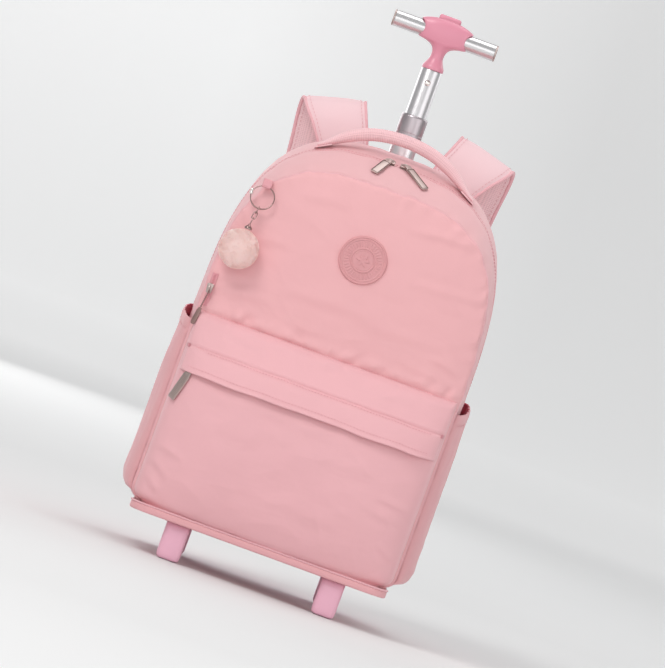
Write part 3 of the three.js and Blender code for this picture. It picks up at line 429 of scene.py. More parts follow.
def fabric(name, rgb, shade=0.9, pitch=0.62, weave=0.00006, soft=0.00035, rough=0.78, sheen=0.25, kind="plain", vary=0.5, glow=None, skew=1.0):
    """Woven cloth. pitch is the thread spacing in mm, weave and soft are bump depths in metres."""
    m, nt, b = new_material(name)
    N = Nodes(nt)
    tc = N.new("ShaderNodeTexCoord")
    uv = N.new("ShaderNodeSeparateXYZ")
    N.link(tc.outputs["UV"], uv.inputs[0])
    k = 2 * math.pi * 100.0 / (2 * pitch)
    wob = N.noise(tc.outputs["Object"], 900, 2)
    wob = N.math("MULTIPLY", wob, 1.4)
    us = N.math("SINE", N.math("ADD", N.math("MULTIPLY", uv.outputs[0], k), wob))
    vs = N.math("SINE", N.math("ADD", N.math("MULTIPLY", uv.outputs[1], k * skew), wob))
    if kind == "plain":
        h = N.math("MULTIPLY", us, vs)
        h = N.math("ADD", N.math("MULTIPLY", h, 0.5), 0.5)
    elif kind == "rib":  # webbing: ribs across its length
        h = N.math("ADD", N.math("MULTIPLY", N.math("ABSOLUTE", us), 0.75), N.math("MULTIPLY", N.math("ABSOLUTE", vs), 0.25))
    elif kind == "mesh":  # open air mesh: round holes in rows
        a = N.math("SINE", N.math("MULTIPLY", N.math("ADD", uv.outputs[0], uv.outputs[1]), k))
        c = N.math("SINE", N.math("MULTIPLY", N.math("SUBTRACT", uv.outputs[0], uv.outputs[1]), k))
        h = N.math("MULTIPLY", a, c)
        h = N.math("SUBTRACT", 1.0, N.math("POWER", N.math("MAXIMUM", h, 0.0), 0.6))
    else:  # diamonds
        a = N.math("SINE", N.math("MULTIPLY", N.math("ADD", uv.outputs[0], uv.outputs[1]), k))
        c = N.math("SINE", N.math("MULTIPLY", N.math("SUBTRACT", uv.outputs[0], uv.outputs[1]), k))
        h = N.math("ADD", N.math("MULTIPLY", N.math("MULTIPLY", a, c), 0.5), 0.5)
    big = N.noise(tc.outputs["Object"], 22, 3)
    fine = N.noise(tc.outputs["Object"], 1400, 2)
    dark = tuple(c * shade for c in rgb)
    col = N.mix(N.math("MULTIPLY", big, vary), rgb, dark)
    # Weave valleys and mesh holes are darkened towards a deeper copy of the colour, flecked by fine noise: painted
    # shade in the crevices of the cloth.
    weave_shade_rgb = tuple(c * shade * 0.86 for c in rgb)
    weave_shade = N.math("MULTIPLY", N.math("SUBTRACT", 1.0, h), 0.42 if kind == "plain" else 0.75)
    col = N.mix(N.math("MULTIPLY", weave_shade, N.math("ADD", fine, 0.5), clamp=True), col, weave_shade_rgb)
    N.link(col, b.inputs["Base Color"])
    n = N.bump(N.noise(tc.outputs["Object"], 70, 5, 0.6), soft, 0.6)
    n = N.bump(h, weave, 0.8, n)
    N.link(n, b.inputs["Normal"])
    rr = N.math("ADD", N.math("MULTIPLY", N.noise(tc.outputs["Object"], 160, 2), 0.14), rough - 0.07)
    N.link(rr, b.inputs["Roughness"])
    b.inputs["Sheen Weight"].default_value = sheen
    b.inputs["Sheen Roughness"].default_value = 0.45
    b.inputs["Sheen Tint"].default_value = (1, 0.9, 0.92, 1)
    b.inputs["Specular IOR Level"].default_value = 0.35
    if glow:
        b.inputs["Subsurface Weight"].default_value = glow
        b.inputs["Subsurface Radius"].default_value = (0.004, 0.002, 0.002)
    return m


def plastic(name, rgb, shade=0.93, rough=0.38, grain=0.00004, coat=0.0, scale=900):
    m, nt, b = new_material(name)
    N = Nodes(nt)
    tc = N.new("ShaderNodeTexCoord")
    big = N.noise(tc.outputs["Object"], 30, 3)
    N.link(N.mix(big, rgb, tuple(c * shade for c in rgb)), b.inputs["Base Color"])
    fine = N.noise(tc.outputs["Object"], scale, 2)
    N.link(N.bump(fine, grain, 0.5), b.inputs["Normal"])
    N.link(N.math("ADD", N.math("MULTIPLY", N.noise(tc.outputs["Object"], 120, 3), 0.16), rough - 0.08), b.inputs["Roughness"])
    b.inputs["Specular IOR Level"].default_value = 0.5
    b.inputs["Coat Weight"].default_value = coat
    b.inputs["Coat Roughness"].default_value = 0.2
    return m


def metal(name, rgb, rough=0.28, brush="u", depth=0.00001, shade=0.88, metallic=1.0, ribs=None):
    """Metal with fine drawing lines along u or v of its texture coordinates, or satin with none."""
    m, nt, b = new_material(name)
    N = Nodes(nt)
    tc = N.new("ShaderNodeTexCoord")
    mp = N.new("ShaderNodeMapping")
    N.link(tc.outputs["UV"] if brush in "uv" else tc.outputs["Object"], mp.inputs["Vector"])
    mp.inputs["Scale"].default_value = {"u": (8, 900, 1), "v": (900, 8, 1)}.get(brush, (1200, 1200, 1200))
    lines = N.noise(mp.outputs[0], 1.0 if brush in "uv" else 1.0, 3)
    big = N.noise(tc.outputs["Object"], 40, 3)
    N.link(N.mix(big, rgb, tuple(c * shade for c in rgb)), b.inputs["Base Color"])
    N.link(N.bump(lines, depth, 0.5), b.inputs["Normal"])
    N.link(N.math("ADD", N.math("MULTIPLY", lines, 0.12), rough - 0.06), b.inputs["Roughness"])
    b.inputs["Metallic"].default_value = metallic
    return m


PINK = lin(236, 178, 184)
MAT = {
    "panel": fabric("cloth_panel", lin(239, 181, 184), rough=0.72),
    "gusset": fabric("cloth_gusset", lin(234, 182, 185), rough=0.72),
    "pocket": fabric("cloth_pocket", lin(239, 183, 188), rough=0.72),
    # A darker copy of the pink for the side pockets and the base: painted shade for the faces turned away from the
    # light.
    "side": fabric("cloth_side_painted_shade", lin(231, 172, 176), rough=0.72),
    "strap": fabric("cloth_strap", lin(241, 206, 210), rough=0.8),
    "under": fabric("cloth_strap_under", lin(252, 218, 221), pitch=2.0, weave=0.0004, kind="mesh", rough=0.85),
    "air": fabric("cloth_air_mesh", lin(233, 176, 184), pitch=3.2, weave=0.0008, kind="mesh", rough=0.85),
    # A deep red for the inner faces of the side pockets: painted shade for the dark inside of the pockets.
    "pocket_inside_shade": fabric("cloth_pocket_inside_shade", lin(214, 62, 98), shade=0.85, rough=0.6),
    "bind": fabric("tape_binding", lin(238, 184, 190), pitch=0.9, weave=0.0001, kind="rib", rough=0.8),
    "web": fabric("tape_webbing", lin(230, 165, 172), pitch=1.3, weave=0.00022, kind="rib", rough=0.8),
    "grab": fabric("cloth_grab", lin(248, 202, 206), pitch=1.9, weave=0.00035, kind="diamond", rough=0.8),
    "thread": fabric("thread", lin(224, 156, 164), pitch=0.5, rough=0.7),
    "tape": fabric("zip_tape", lin(228, 160, 168), pitch=0.8, kind="rib", rough=0.8),
    "coil": plastic("zip_coil", lin(222, 150, 158), rough=0.45),
    "plastic": plastic("moulded_pink", lin(226, 142, 166), rough=0.42),
    "grip": plastic("moulded_grip", lin(223, 145, 164), rough=0.36, coat=0.15),
    "foot": plastic("moulded_foot", lin(238, 182, 201), rough=0.45),
    "tyre": plastic("tyre_rubber", lin(234, 174, 196), rough=0.6, grain=0.00008),
    "hub": plastic("moulded_hub", lin(228, 158, 186), rough=0.4),
    "badge": plastic("badge_rubber", lin(216, 154, 157), rough=0.5, grain=0.00005),
    "tube": metal("drawn_tube", lin(232, 230, 232), rough=0.3, brush="v", metallic=0.9),
    "collar": metal("drawn_collar", lin(191, 182, 186), rough=0.34, brush="v", metallic=0.9),
    "bar": metal("drawn_bar", lin(230, 228, 229), rough=0.28, brush="v", metallic=1.0),
    "pull": metal("satin_pull", lin(200, 182, 177), rough=0.42, brush="o", depth=0.00002),
    "wire": metal("polished_wire", lin(166, 140, 136), rough=0.22, brush="o"),
    "edge": metal("pull_edge", lin(132, 106, 101), rough=0.4, brush="o"),
    "side_pull": metal("satin_side_pull", lin(162, 132, 127), rough=0.4, brush="o"),
    "silver": metal("polished_silver", lin(236, 230, 226), rough=0.18, brush="o"),
    # A dark colour for the insides of slots: painted shade; no part uses it.
    "dark": plastic("dark_slot", lin(120, 70, 82), rough=0.7),
}

# ------------------------------------------------------------------ body outline
# y, half width, top height, exponent of the arch, bottom height
BODY = smooth_table([(-52, 146, 441, 3.2), (-30, 149.6, 456, 3.12), (-8, 151, 467, 3.05), (38, 151.5, 479, 3.0), (66, 150.6, 480, 3.0), (88, 147.5, 474, 3.0)])
BOTTOM = np.array([(-52, 47.5), (38, 47.5), (66, 74), (88, 95)], float)


def body_at(y):
    w, top, n = (np.interp(y, BODY[:, 0], BODY[:, k]) for k in (1, 2, 3))
    return w, top, n, np.interp(y, BOTTOM[:, 0], BOTTOM[:, 1])


ARCH, SIDE, CORNER, FLOOR = 260, 56, 14, 60


def outline(y, inset=0.0):
    """Points (x, z) round the body at depth y, from the right side over the top, down the left and back along the floor."""
    w, top, n, zb = (float(q) for q in body_at(y))
    w, rise, zb, r = w - inset, top - inset - SPRING_Z, zb + inset, max(CORNER_R - inset, 3)
    a = np.linspace(0, np.pi, 900)
    c, s = np.cos(a), np.sin(a)
    d = np.stack([w * np.sign(c) * np.abs(c) ** (2 / n), SPRING_Z + rise * np.abs(s) ** (2 / n)], 1)
    t = lengths(d)
    q = np.linspace(0, t[-1], ARCH, endpoint=False)
    arch = np.stack([np.interp(q, t, d[:, 0]), np.interp(q, t, d[:, 1])], 1)
    k = np.linspace(0, 1, SIDE, endpoint=False)
    left = np.stack([np.full(SIDE, -w), SPRING_Z + (zb + r - SPRING_Z) * k], 1)
    b = np.linspace(0, np.pi / 2, CORNER, endpoint=False)
    lc = np.stack([-(w - r + r * np.cos(b)), zb + r - r * np.sin(b)], 1)
    k = np.linspace(0, 1, FLOOR, endpoint=False)
    fl = np.stack([-(w - r) + 2 * (w - r) * k, np.full(FLOOR, zb)], 1)
    b = np.pi / 2 - b
    rc = np.stack([w - r + r * np.cos(b), zb + r - r * np.sin(b)], 1)
    k = np.linspace(0, 1, SIDE, endpoint=False)
    right = np.stack([np.full(SIDE, w), zb + r + (SPRING_Z - zb - r) * k], 1)
    return np.concatenate([arch, left, lc, fl, rc, right])


def side_x(y, z):
    w, top, n, zb = body_at(y)
    low = zb + CORNER_R
    z = np.asarray(z, float)
    corner = w - CORNER_R + np.sqrt(np.clip(CORNER_R**2 - (low - z) ** 2, 0, None))
    arch = w * np.clip(1 - (np.clip(z - SPRING_Z, 0, None) / (top - SPRING_Z)) ** n, 0, None) ** (1 / n)
    return np.where(z < low, corner, np.where(z <= SPRING_Z, w, arch))


def top_z(x, y):
    w, top, n, _ = body_at(y)
    return SPRING_Z + (top - SPRING_Z) * np.clip(1 - (np.abs(x) / w) ** n, 0, None) ** (1 / n)


def panel_rise(x, z):
    a = np.abs(x) / 146.0
    up = z > SPRING_Z
    b = np.where(up, (z - SPRING_Z) / (441 - SPRING_Z), (SPRING_Z - z) / (SPRING_Z - 47.5))
    m = np.where(up, 3.2, 6.0)
    rho = np.clip((a**m + np.abs(b) ** m) ** (1 / m), 0, 1)
    return 13 * (1 - rho**3.2)


def panel_y(x, z):
    return -55.3 - panel_rise(x, z)


POCKET = smooth_table([(48, 25), (58, 29), (85, 32.5), (130, 33.5), (175, 31), (200, 27.5), (219, 22.5), (236, 13.5), (248, 5.5), (256, 0)])
POCKET_HW = 144.0


def pocket_half(z):
    r, low = 12.0, 62.0
    return np.where(np.asarray(z) >= low, POCKET_HW, POCKET_HW - r + np.sqrt(np.clip(r * r - (low - np.asarray(z, float)) ** 2, 0, None)))


def pocket_y(x, z):
    a = np.clip(np.abs(x) / pocket_half(z), 0, 1)
    off = np.clip(np.interp(z, POCKET[:, 0], POCKET[:, 1]), 0, None) * (1 - a**6) ** (1 / 2.6)
    return panel_y(x, z) - 3.7 - off


def facing(f, x, z, e=0.5):
    return unit(np.stack([(f(x + e, z) - f(x - e, z)) / (2 * e), -np.ones_like(np.asarray(x, float)), (f(x, z + e) - f(x, z - e)) / (2 * e)], -1))


# ------------------------------------------------------------------ front panel
def ridged(p, lam, seed):
    """Rounded puckers with narrow valleys between them, about -1 to 1."""
    return 1 - 2 * np.abs(np.tanh(1.1 * waves(p, lam * 2, seed, n=9)))


def seam_wobble():
    """How far the front seam strays in its plane and along Y, at each point of the outline."""
    o = outline(-52)
    arc = lengths(o)
    s = np.stack([arc, 0 * arc, 0 * arc], 1)
    high = step(200, 300, o[:, 1])
    return high * (0.75 * waves(s, 17, 401, n=9) + 0.5 * ridged(s, 8, 402)), high * 0.5 * waves(s, 14, 403, n=9)


def outward(o):
    w = np.stack([np.roll(o[:, 1], -1) - np.roll(o[:, 1], 1), -(np.roll(o[:, 0], -1) - np.roll(o[:, 0], 1))], 1)
    return unit(w)


def front_panel():
    edge = outline(-52)
    n = len(edge)
    rings = 1 - (1 - np.linspace(0, 1, 76)[1:]) ** 1.25
    c = np.array([0, 250.0])
    g = np.zeros((n, len(rings), 3))
    for j, r in enumerate(rings):
        g[:, j, 0] = edge[:, 0] * r
        g[:, j, 2] = c[1] + (edge[:, 1] - c[1]) * r
    x, z = g[..., 0], g[..., 2]
    d = np.zeros_like(x)
    arc = lengths(np.vstack([edge, edge[:1]]))[:-1]
    rim = np.linalg.norm(edge - c, axis=1)[:, None] * (1 - rings)[None, :]
    P = np.stack([x, np.zeros_like(x), z], -1)
    # broad unevenness and a few lying creases
    d += 1.0 * crinkle(P, 95, 11, (0.6, 1, 1.2)) * step(2, 30, rim)
    d += 0.22 * crinkle(P, 30, 14, (0.5, 1, 1.3)) * step(2, 14, rim)
    for a, b, w, amp, bow in FOLDS["panel"]:
        d += 1.7 * fold(x, z, a, b, w, amp, bow)
    # puckers along the arched seam
    sa = np.stack([arc, arc * 0, arc * 0], 1)
    high = np.where(z > 255, 1, 0.25)
    d += 1.35 * waves(sa, 15, 5, n=9)[:, None] * np.exp(-rim / 9.0) * step(0, 2.5, rim) * high
    d += 0.75 * ridged(sa, 8, 6)[:, None] * np.exp(-rim / 4.5) * step(0, 1.5, rim) * high
    # the pocket's upper seam gathers the panel just above it
    near = step(147, 132, np.abs(x))
    sx = np.stack([x, 0 * x, 0.4 * z], -1)
    d += near * np.exp(-((z - 262.5) / 6.0) ** 2) * (1.7 + 1.5 * waves(sx, 17, 21) + 0.7 * ridged(sx, 8, 22))
    d -= near * 0.9 * np.exp(-((z - 256.6) / 1.8) ** 2)
    wob, wy = seam_wobble()
    ow = outward(edge)
    g[..., 0] += (wob * ow[:, 0])[:, None] * np.exp(-rim / 7.0)
    g[..., 2] += (wob * ow[:, 1])[:, None] * np.exp(-rim / 7.0)
    g[..., 1] = -55.3 + 2.6 * np.exp(-rim / 1.6) - panel_rise(x, z) - d * step(0, 1.5, rim) + wy[:, None] * np.exp(-rim / 5.0)
    acc = Acc()
    m = len(rings)
    f, ij = quads(n, m, True)
    a, b = ij
    uvp = np.stack([x, z], -1)
    uv = np.stack([uvp[a, b], uvp[(a + 1) % n, b], uvp[(a + 1) % n, b + 1], uvp[a, b + 1]], 1)
    acc.add(g, f, 0, uv)
    yc = float(panel_y(0.0, 250.0))
    ring = np.concatenate([g[:, 0], [[0, yc, 250]]])
    acc.add(ring, [(i, (i + 1) % n, n) for i in range(n)], 0, np.array([[uvp[i, 0], uvp[(i + 1) % n, 0], (0, 250)] for i in range(n)]))
    # lining side
    back = g[:, [-1, m - 10, 20]].copy()
    back[:, 0, 1] = -52.4
    back[:, 1, 1] += 2.4
    back[:, 2, 1] += 2.6
    strip = np.concatenate([g[:, -1:], back], 1)
    f, _ = quads(n, strip.shape[1], True)
    acc.add(strip, f, 0)
    acc.add(np.concatenate([back[:, 2], [[0, yc + 2.6, 250]]]), [(i, (i + 1) % n, n) for i in range(n)], 0)
    ob = acc.build("front_panel_cloth", [MAT["panel"]], replaces=["front_panel"])
    return weld(ob)


FOLDS = {
    "panel": [
        ((30, 409), (112, 414), 4.5, 0.8, 3), ((-95, 404), (-20, 412), 5, 0.5, 2), ((52, 360), (138, 366), 5, 0.75, -2), ((60, 352), (128, 349), 6, 0.4, 1),
        ((-80, 306), (40, 310), 6, 0.7, 2), ((10, 303), (118, 307), 6, 0.55, -2), ((-136, 296), (-92, 306), 4, 0.8, 2), ((-132, 284), (-70, 290), 5, 0.6, 1),
        ((96, 292), (140, 282), 4.5, 0.8, 2), ((70, 278), (136, 272), 5, 0.6, -1), ((-120, 344), (-74, 352), 5, 0.5, 2), ((-60, 276), (20, 272), 5, 0.5, 1),
    ],
    "pocket": [
        ((96, 137), (139, 130), 4, 1.0, 2), ((84, 125), (134, 118), 5, 0.7, -1), ((-139, 96), (-112, 78), 4, 1.0, 2), ((-138, 112), (-104, 104), 4.5, 0.8, 1),
        ((-136, 78), (-118, 62), 3.5, 0.9, 0), ((112, 92), (140, 76), 4, 0.8, 1), ((-60, 182), (30, 179), 6, 0.5, 1), ((-10, 96), (80, 92), 8, 0.6, 2),
        ((-100, 146), (-30, 150), 8, 0.6, 2), ((20, 158), (96, 162), 7, 0.5, -2), ((-120, 244), (-60, 238), 4, 0.5, 1), ((20, 240), (110, 244), 5, 0.5, -1),
    ],
}


# ------------------------------------------------------------------ gussets, piping, main zip
def gusset(name, y0, y1, count, seed, node, open0, open1):
    ys = y0 + (y1 - y0) * (0.5 - 0.5 * np.cos(np.linspace(0, np.pi, count)))
    ys = 0.45 * ys + 0.55 * np.linspace(y0, y1, count)
    g = np.stack([np.concatenate([outline(y), np.full((ARCH + 2 * (SIDE + CORNER) + FLOOR, 1), y)], 1)[:, [0, 2, 1]] for y in ys], 1)
    n = normals(g, True)
    cen = np.array([0, 0, 260.0])
    if np.sum((g - cen) * n * np.array([1, 0, 1])) < 0:
        n = -n
    x, y, z = g[..., 0], g[..., 1], g[..., 2]
    # the zip closes this edge only above its lower ends: below them the two edges meet
    low = step(ZIP_LOW + 4, ZIP_LOW + 12, z)
    if open1:
        y = y - (2.55 * low) * step(y1 - 26, y1, y)
    if open0:
        y = y + (2.55 * low) * step(y0 + 26, y0, y)
    g[..., 1] = y
    d0, d1 = np.abs(y - y0), np.abs(y1 - y)
    dist = np.minimum(d0, d1)
    arc = lengths(g[:, count // 2])[:, None]
    s = np.stack([arc + 0 * y, 0 * y, 0 * y], -1)
    up = step(255, 300, z)
    d = 0.7 * crinkle(g, 70, seed, (1, 0.8, 1)) * step(1, 12, dist)
    zipped = (d1 < d0) if open1 else (d0 < d1)
    calm = np.where(zipped & (z > ZIP_LOW), 0.25, 1.0)
    d += calm * 1.1 * waves(s, 15, seed + 3, n=9) * np.exp(-dist / 7.0) * step(0, 2, dist)
    d += calm * 0.6 * ridged(s, 8, seed + 4) * np.exp(-dist / 3.5) * step(0, 1.5, dist)
    # the sides hang in soft upright folds over the side pockets
    side = (1 - step(330, 430, z)) * step(200, 262, z)
    d += side * 0.8 * waves(g, 42, seed + 9, stretch=(1, 1.3, 0.45)) * step(2, 14, dist)
    d -= np.where(calm < 1, 0.6, 1.5) * np.exp(-((dist / 1.5) ** 2))
    d -= 0.8 * step(262, 250, z) * (1 - step(60, 48, z))
    del up
    g = g + n * np.where(z < 49, np.minimum(d, 0), d)[..., None]
    if open1:
        wob, wy = seam_wobble()
        fade = np.exp(-d0 / 7.0)
        g = g + n * (wob[:, None] * fade)[..., None]
        g[..., 1] += wy[:, None] * fade
    acc = Acc()
    sheet_of(acc, g, 2.0, face=(0, float(np.mean(ys)), 250), wrap_i=True)
    return acc.build(name, [MAT["gusset"]], replaces=[node])


def seam_pipe(name, y, off, r):
    o = outline(y)
    w = outward(o)
    wob, wy = seam_wobble() if y < 0 else (0, 0)
    off = off + wob
    p = np.stack([o[:, 0] + w[:, 0] * off, y + wy + np.zeros(len(o)), o[:, 1] + w[:, 1] * off], 1)
    acc = Acc()
    arc = lengths(p)
    rr = r * (1 + 0.06 * waves(np.stack([arc, arc * 0, arc * 0], 1), 9, 71))
    tube(acc, p, rr, 10, True, up=(0, 1, 0))
    return acc.build(name, [MAT["bind"]])


def zip_path(y, inset):
    o = outline(y, inset)
    keep = list(range(-int(SIDE * 0.14), ARCH + int(SIDE * 0.14)))
    q = o[np.array(keep) % len(o)]
    return q[q[:, 1] > ZIP_LOW + 5]


def main_zip():
    q = zip_path(ZIP_Y, 0.5)
    p = np.stack([q[:, 0], np.full(len(q), ZIP_Y), q[:, 1]], 1)
    t = unit(np.gradient(p, axis=0))
    out = unit(np.cross([0, 1, 0], t))
    if np.sum(out * (p - [0, ZIP_Y, 260])) < 0:
        out = -out
    acc = Acc()
    across = np.linspace(-3.0, 3.0, 7)
    g = np.stack([p + np.array([0, a, 0]) - out * 0.25 * (abs(a) < 0.3) for a in across], 1)
    sheet_of(acc, g, 0.7, face=(0, ZIP_Y, 260))
    s = lengths(p)
    pitch = 1.7
    base = np.array([(-0.5, -0.5, -0.5), (0.5, -0.5, -0.5), (0.5, 0.5, -0.5), (-0.5, 0.5, -0.5), (-0.32, -0.4, 0.5), (0.32, -0.4, 0.5), (0.32, 0.4, 0.5), (-0.32, 0.4, 0.5)])
    cube = [(0, 3, 2, 1), (4, 5, 6, 7), (0, 1, 5, 4), (1, 2, 6, 5), (2, 3, 7, 6), (3, 0, 4, 7)]
    for k in range(int(s[-1] / pitch)):
        at = (k + 0.5) * pitch
        c = np.array([np.interp(at, s, p[:, i]) for i in range(3)])
        n = unit(np.array([np.interp(at, s, out[:, i]) for i in range(3)]))
        tt = np.cross(n, [0, 1, 0])
        side = 0.55 if k % 2 else -0.55
        R = np.stack([tt, [0, 1, 0], n], 1)
        acc.add((base * [1.15, 1.9, 1.1]) @ R.T + c + np.array([0, side, 0]) + n * 0.45, cube, 1)
    ob = acc.build("main_zip_coil", [MAT["tape"], MAT["coil"]], replaces=["main_zip"], angle=40)
    # stitch rows on both sides of the zip
    st = Acc()
    for dy, seed in ((-6.2, 1), (6.0, 2)):
        q = zip_path(ZIP_Y + dy, 0)
        pts = np.stack([q[:, 0], np.full(len(q), ZIP_Y + dy), q[:, 1]], 1)
        nn = unit(np.cross([0, 1, 0], unit(np.gradient(pts, axis=0))))
        if np.sum(nn * (pts - [0, ZIP_Y, 260])) < 0:
            nn = -nn
        stitches(st, pts + nn * 0.15, nn, pitch=3.8, length=2.7, r=0.28)
    st.build("main_zip_stitching", [MAT["thread"]])
    return ob


# ------------------------------------------------------------------ front pocket and flap
def front_pocket():
    nu, nv = 190, 136
    u = np.linspace(-1, 1, nu)
    u = 0.55 * u + 0.45 * np.sin(u * np.pi / 2)
    z = 47.3 + (256.6 - 47.3) * np.linspace(0, 1, nv)
    U, Z = np.meshgrid(u, z, indexing="ij")
    X = U * pocket_half(Z)
    P = np.stack([X, np.zeros_like(X), Z], -1)
    edge = np.minimum(POCKET_HW * (1 - np.abs(U)), 60)
    top = 256.6 - Z
    d = 1.2 * crinkle(P, 90, 31, (0.75, 1, 1.1)) * step(2, 26, edge) * step(2, 20, top)
    d += 0.25 * crinkle(P, 30, 32, (0.6, 1, 1.2)) * step(2, 14, edge) * step(2, 14, top)
    for a, b, w, amp, bow in FOLDS["pocket"]:
        d += 1.5 * fold(X, Z, a, b, w, amp, bow)
    # gathers that run down from the upper seam, and puckers up the sides
    s = np.stack([X, 0 * X, 0 * X], -1)
    d += np.exp(-top / 9.0) * (1.4 * waves(s, 17, 33, n=9) + 0.7 * ridged(s, 9, 34)) * step(0, 3, top)
    sv = np.stack([Z + 400 * np.sign(U), 0 * X, 0 * X], -1)
    d += np.exp(-edge / 6.0) * 0.9 * waves(sv, 16, 35, n=9) * step(0, 3, edge) * (1 - step(150, 215, Z) * 0.6)
    d += 1.3 * np.exp(-(((top - 7) / 6.0) ** 2))  # the roll under the seam
    # the flap's seam draws the pocket in; the cloth swells over it
    d += step(3, 12, edge) * (0.9 * np.exp(-(((Z - 222.6) / 2.0) ** 2)) - 0.9 * np.exp(-(((Z - 219.4) / 1.1) ** 2)))
    Y = pocket_y(X, Z) - d * step(0, 2, edge) + 4.0 * np.maximum(np.exp(-edge / 1.5), np.exp(-top / 1.7))
    g = np.stack([X, Y, Z], -1)
    acc = Acc()
    sheet_of(acc, g, 2.0, face=(0, 300, 150))
    ob = acc.build("front_pocket_cloth", [MAT["pocket"]], replaces=["front_pocket"])
    return weld(ob)


def flap_y(x, z):
    lift = 6.0 * (219 - z) / 26.0
    flat = np.clip(1 - (np.abs(x) / 144.0) ** 24, 0, None)
    return pocket_y(x, z) - 0.7 - lift * flat * 0.62


def pocket_flap():
    nu, nv = 170, 26
    u = np.linspace(-1, 1, nu)
    x = 141.5 * (0.6 * u + 0.4 * np.sin(u * np.pi / 2))
    t = np.linspace(0, 1, nv)
    hem = 192.6 + 0.55 * waves(np.stack([x, 0 * x, 0 * x], 1), 60, 41, n=8)
    top = 219.6 + 0.3 * waves(np.stack([x, 0 * x, 0 * x], 1), 40, 43, n=8)
    X = np.repeat(x[:, None], nv, 1)
    Z = hem[:, None] + (top - hem)[:, None] * t[None, :]
    P = np.stack([X, 0 * X, Z], -1)
    low = np.exp(-((Z - hem[:, None]) / 3.2))
    high = np.exp(-((top[:, None] - Z) / 2.6))
    d = 0.45 * crinkle(P, 48, 45, (0.7, 1, 1)) + 0.55 * low * waves(np.stack([X, 0 * X, 0 * X], -1), 34, 46, n=8)
    d += 0.35 * waves(np.stack([X, 0 * X, 0 * X], -1), 9, 47, n=8) * np.exp(-((top[:, None] - Z) / 6.0))
    Y = flap_y(X, Z) - 1.4 - d + 2.2 * np.exp(-((top[:, None] - Z) / 1.3)) + 0.5 * high - 0.5 * np.exp(-(((Z - hem[:, None]) / 2.0) ** 2))
    ends = np.exp(-(141.5 - np.abs(X)) / 1.6)
    Y = Y + 1.6 * ends
    acc = Acc()
    sheet_of(acc, np.stack([X, Y, Z], -1), 1.6, face=(0, 300, 200))
    # bar tacks at both ends of the seam
    for sx in (-1, 1):
        for k in range(7):
            z = 217.0 + k * 0.55
            a = np.array([sx * 139.3, float(flap_y(sx * 139.3, z)) - 1.2, z])
            b = np.array([sx * 142.4, float(flap_y(sx * 142.0, z)) - 0.4, z])
            tube(acc, [a, (a + b) / 2 + [0, -0.25, 0], b], 0.3, 6, mat=1)
    ob = acc.build("pocket_flap_cloth", [MAT["pocket"], MAT["thread"]], replaces=["pocket_flap"])
    # the seam that holds the flap, and its hem
    st = Acc()
    xs = np.linspace(-119, 131, 160)
    zt = np.interp(xs, x, top)
    pts = np.stack([xs, flap_y(xs, zt - 1.6) - 1.75, zt - 1.9], 1)
    stitches(st, pts, np.array([0, -1, 0.2]), pitch=3.4, length=2.3, r=0.26)
    xs = np.linspace(-134, 134, 180)
    zh = np.interp(xs, x, hem)
    pts = np.stack([xs, flap_y(xs, zh + 5.2) - 1.75, zh + 5.2], 1)
    stitches(st, pts, np.array([0, -1, 0.1]), pitch=3.6, length=2.4, r=0.2)
    st.build("pocket_flap_stitching", [MAT["thread"]])
    # zip under the flap
    zx = np.linspace(-126, 126, 120)
    acc = Acc()
    g = np.stack([np.stack([zx, pocket_y(zx, zz) - 0.7, np.full(120, zz)], 1) for zz in (196, 198, 199.5, 201, 203)], 1)
    sheet_of(acc, g, 0.6, face=(0, 300, 200))
    for k in range(140):
        xx = -124 + 248 * k / 139
        blocks(acc, (1.1, 0.9, 2.0), (xx, float(pocket_y(xx, 199.5)) - 1.2, 199.5 + (0.4 if k % 2 else -0.4)), bevel=0.2, segments=1, mat=1)
    acc.build("pocket_zip_coil", [MAT["tape"], MAT["coil"]], replaces=["pocket_zip"])
    return weld(ob)


def base_board():
    hw, y0, y1, r, z0, z1 = 142, -87, 39.5, 22, 39.0, 46.9
    pts = [(-hw, y1), (hw, y1)]
    for k in range(13):
        a = 0 - (np.pi / 2) * k / 12
        pts.append((hw - r + r * math.cos(a), y0 + r + r * math.sin(a)))
    for k in range(13):
        a = -np.pi / 2 - (np.pi / 2) * k / 12
        pts.append((-hw + r + r * math.cos(a), y0 + r + r * math.sin(a)))
    acc = Acc()
    bm = bmesh.new()
    face = bm.faces.new([bm.verts.new((x, y, z0)) for x, y in pts])
    res = bmesh.ops.extrude_face_region(bm, geom=[face])
    for v in res["geom"]:
        if isinstance(v, bmesh.types.BMVert):
            v.co.z = z1
    bmesh.ops.recalc_face_normals(bm, faces=bm.faces)
    rim = [e for e in bm.edges if abs(e.verts[0].co.z - e.verts[1].co.z) < 1e-6]
    bmesh.ops.bevel(bm, geom=rim, offset=1.8, segments=3, profile=0.5, affect="EDGES")
    take(acc, bm)
    # seam cord round the foot of the pocket
    loop = [(x, y) for x, y in pts[2:]]
    path = np.array([(x, y, 47.4) for x, y in loop])
    path[:, 1] += 0.6
    t = lengths(path)
    q = np.linspace(0, t[-1], 120)
    path = np.stack([np.interp(q, t, path[:, i]) for i in range(3)], 1)
    tube(acc, path, 1.0, 8, mat=1)
    ob = acc.build("base_board_cover", [MAT["side"], MAT["bind"]], replaces=["base_board"], angle=50)
    return ob


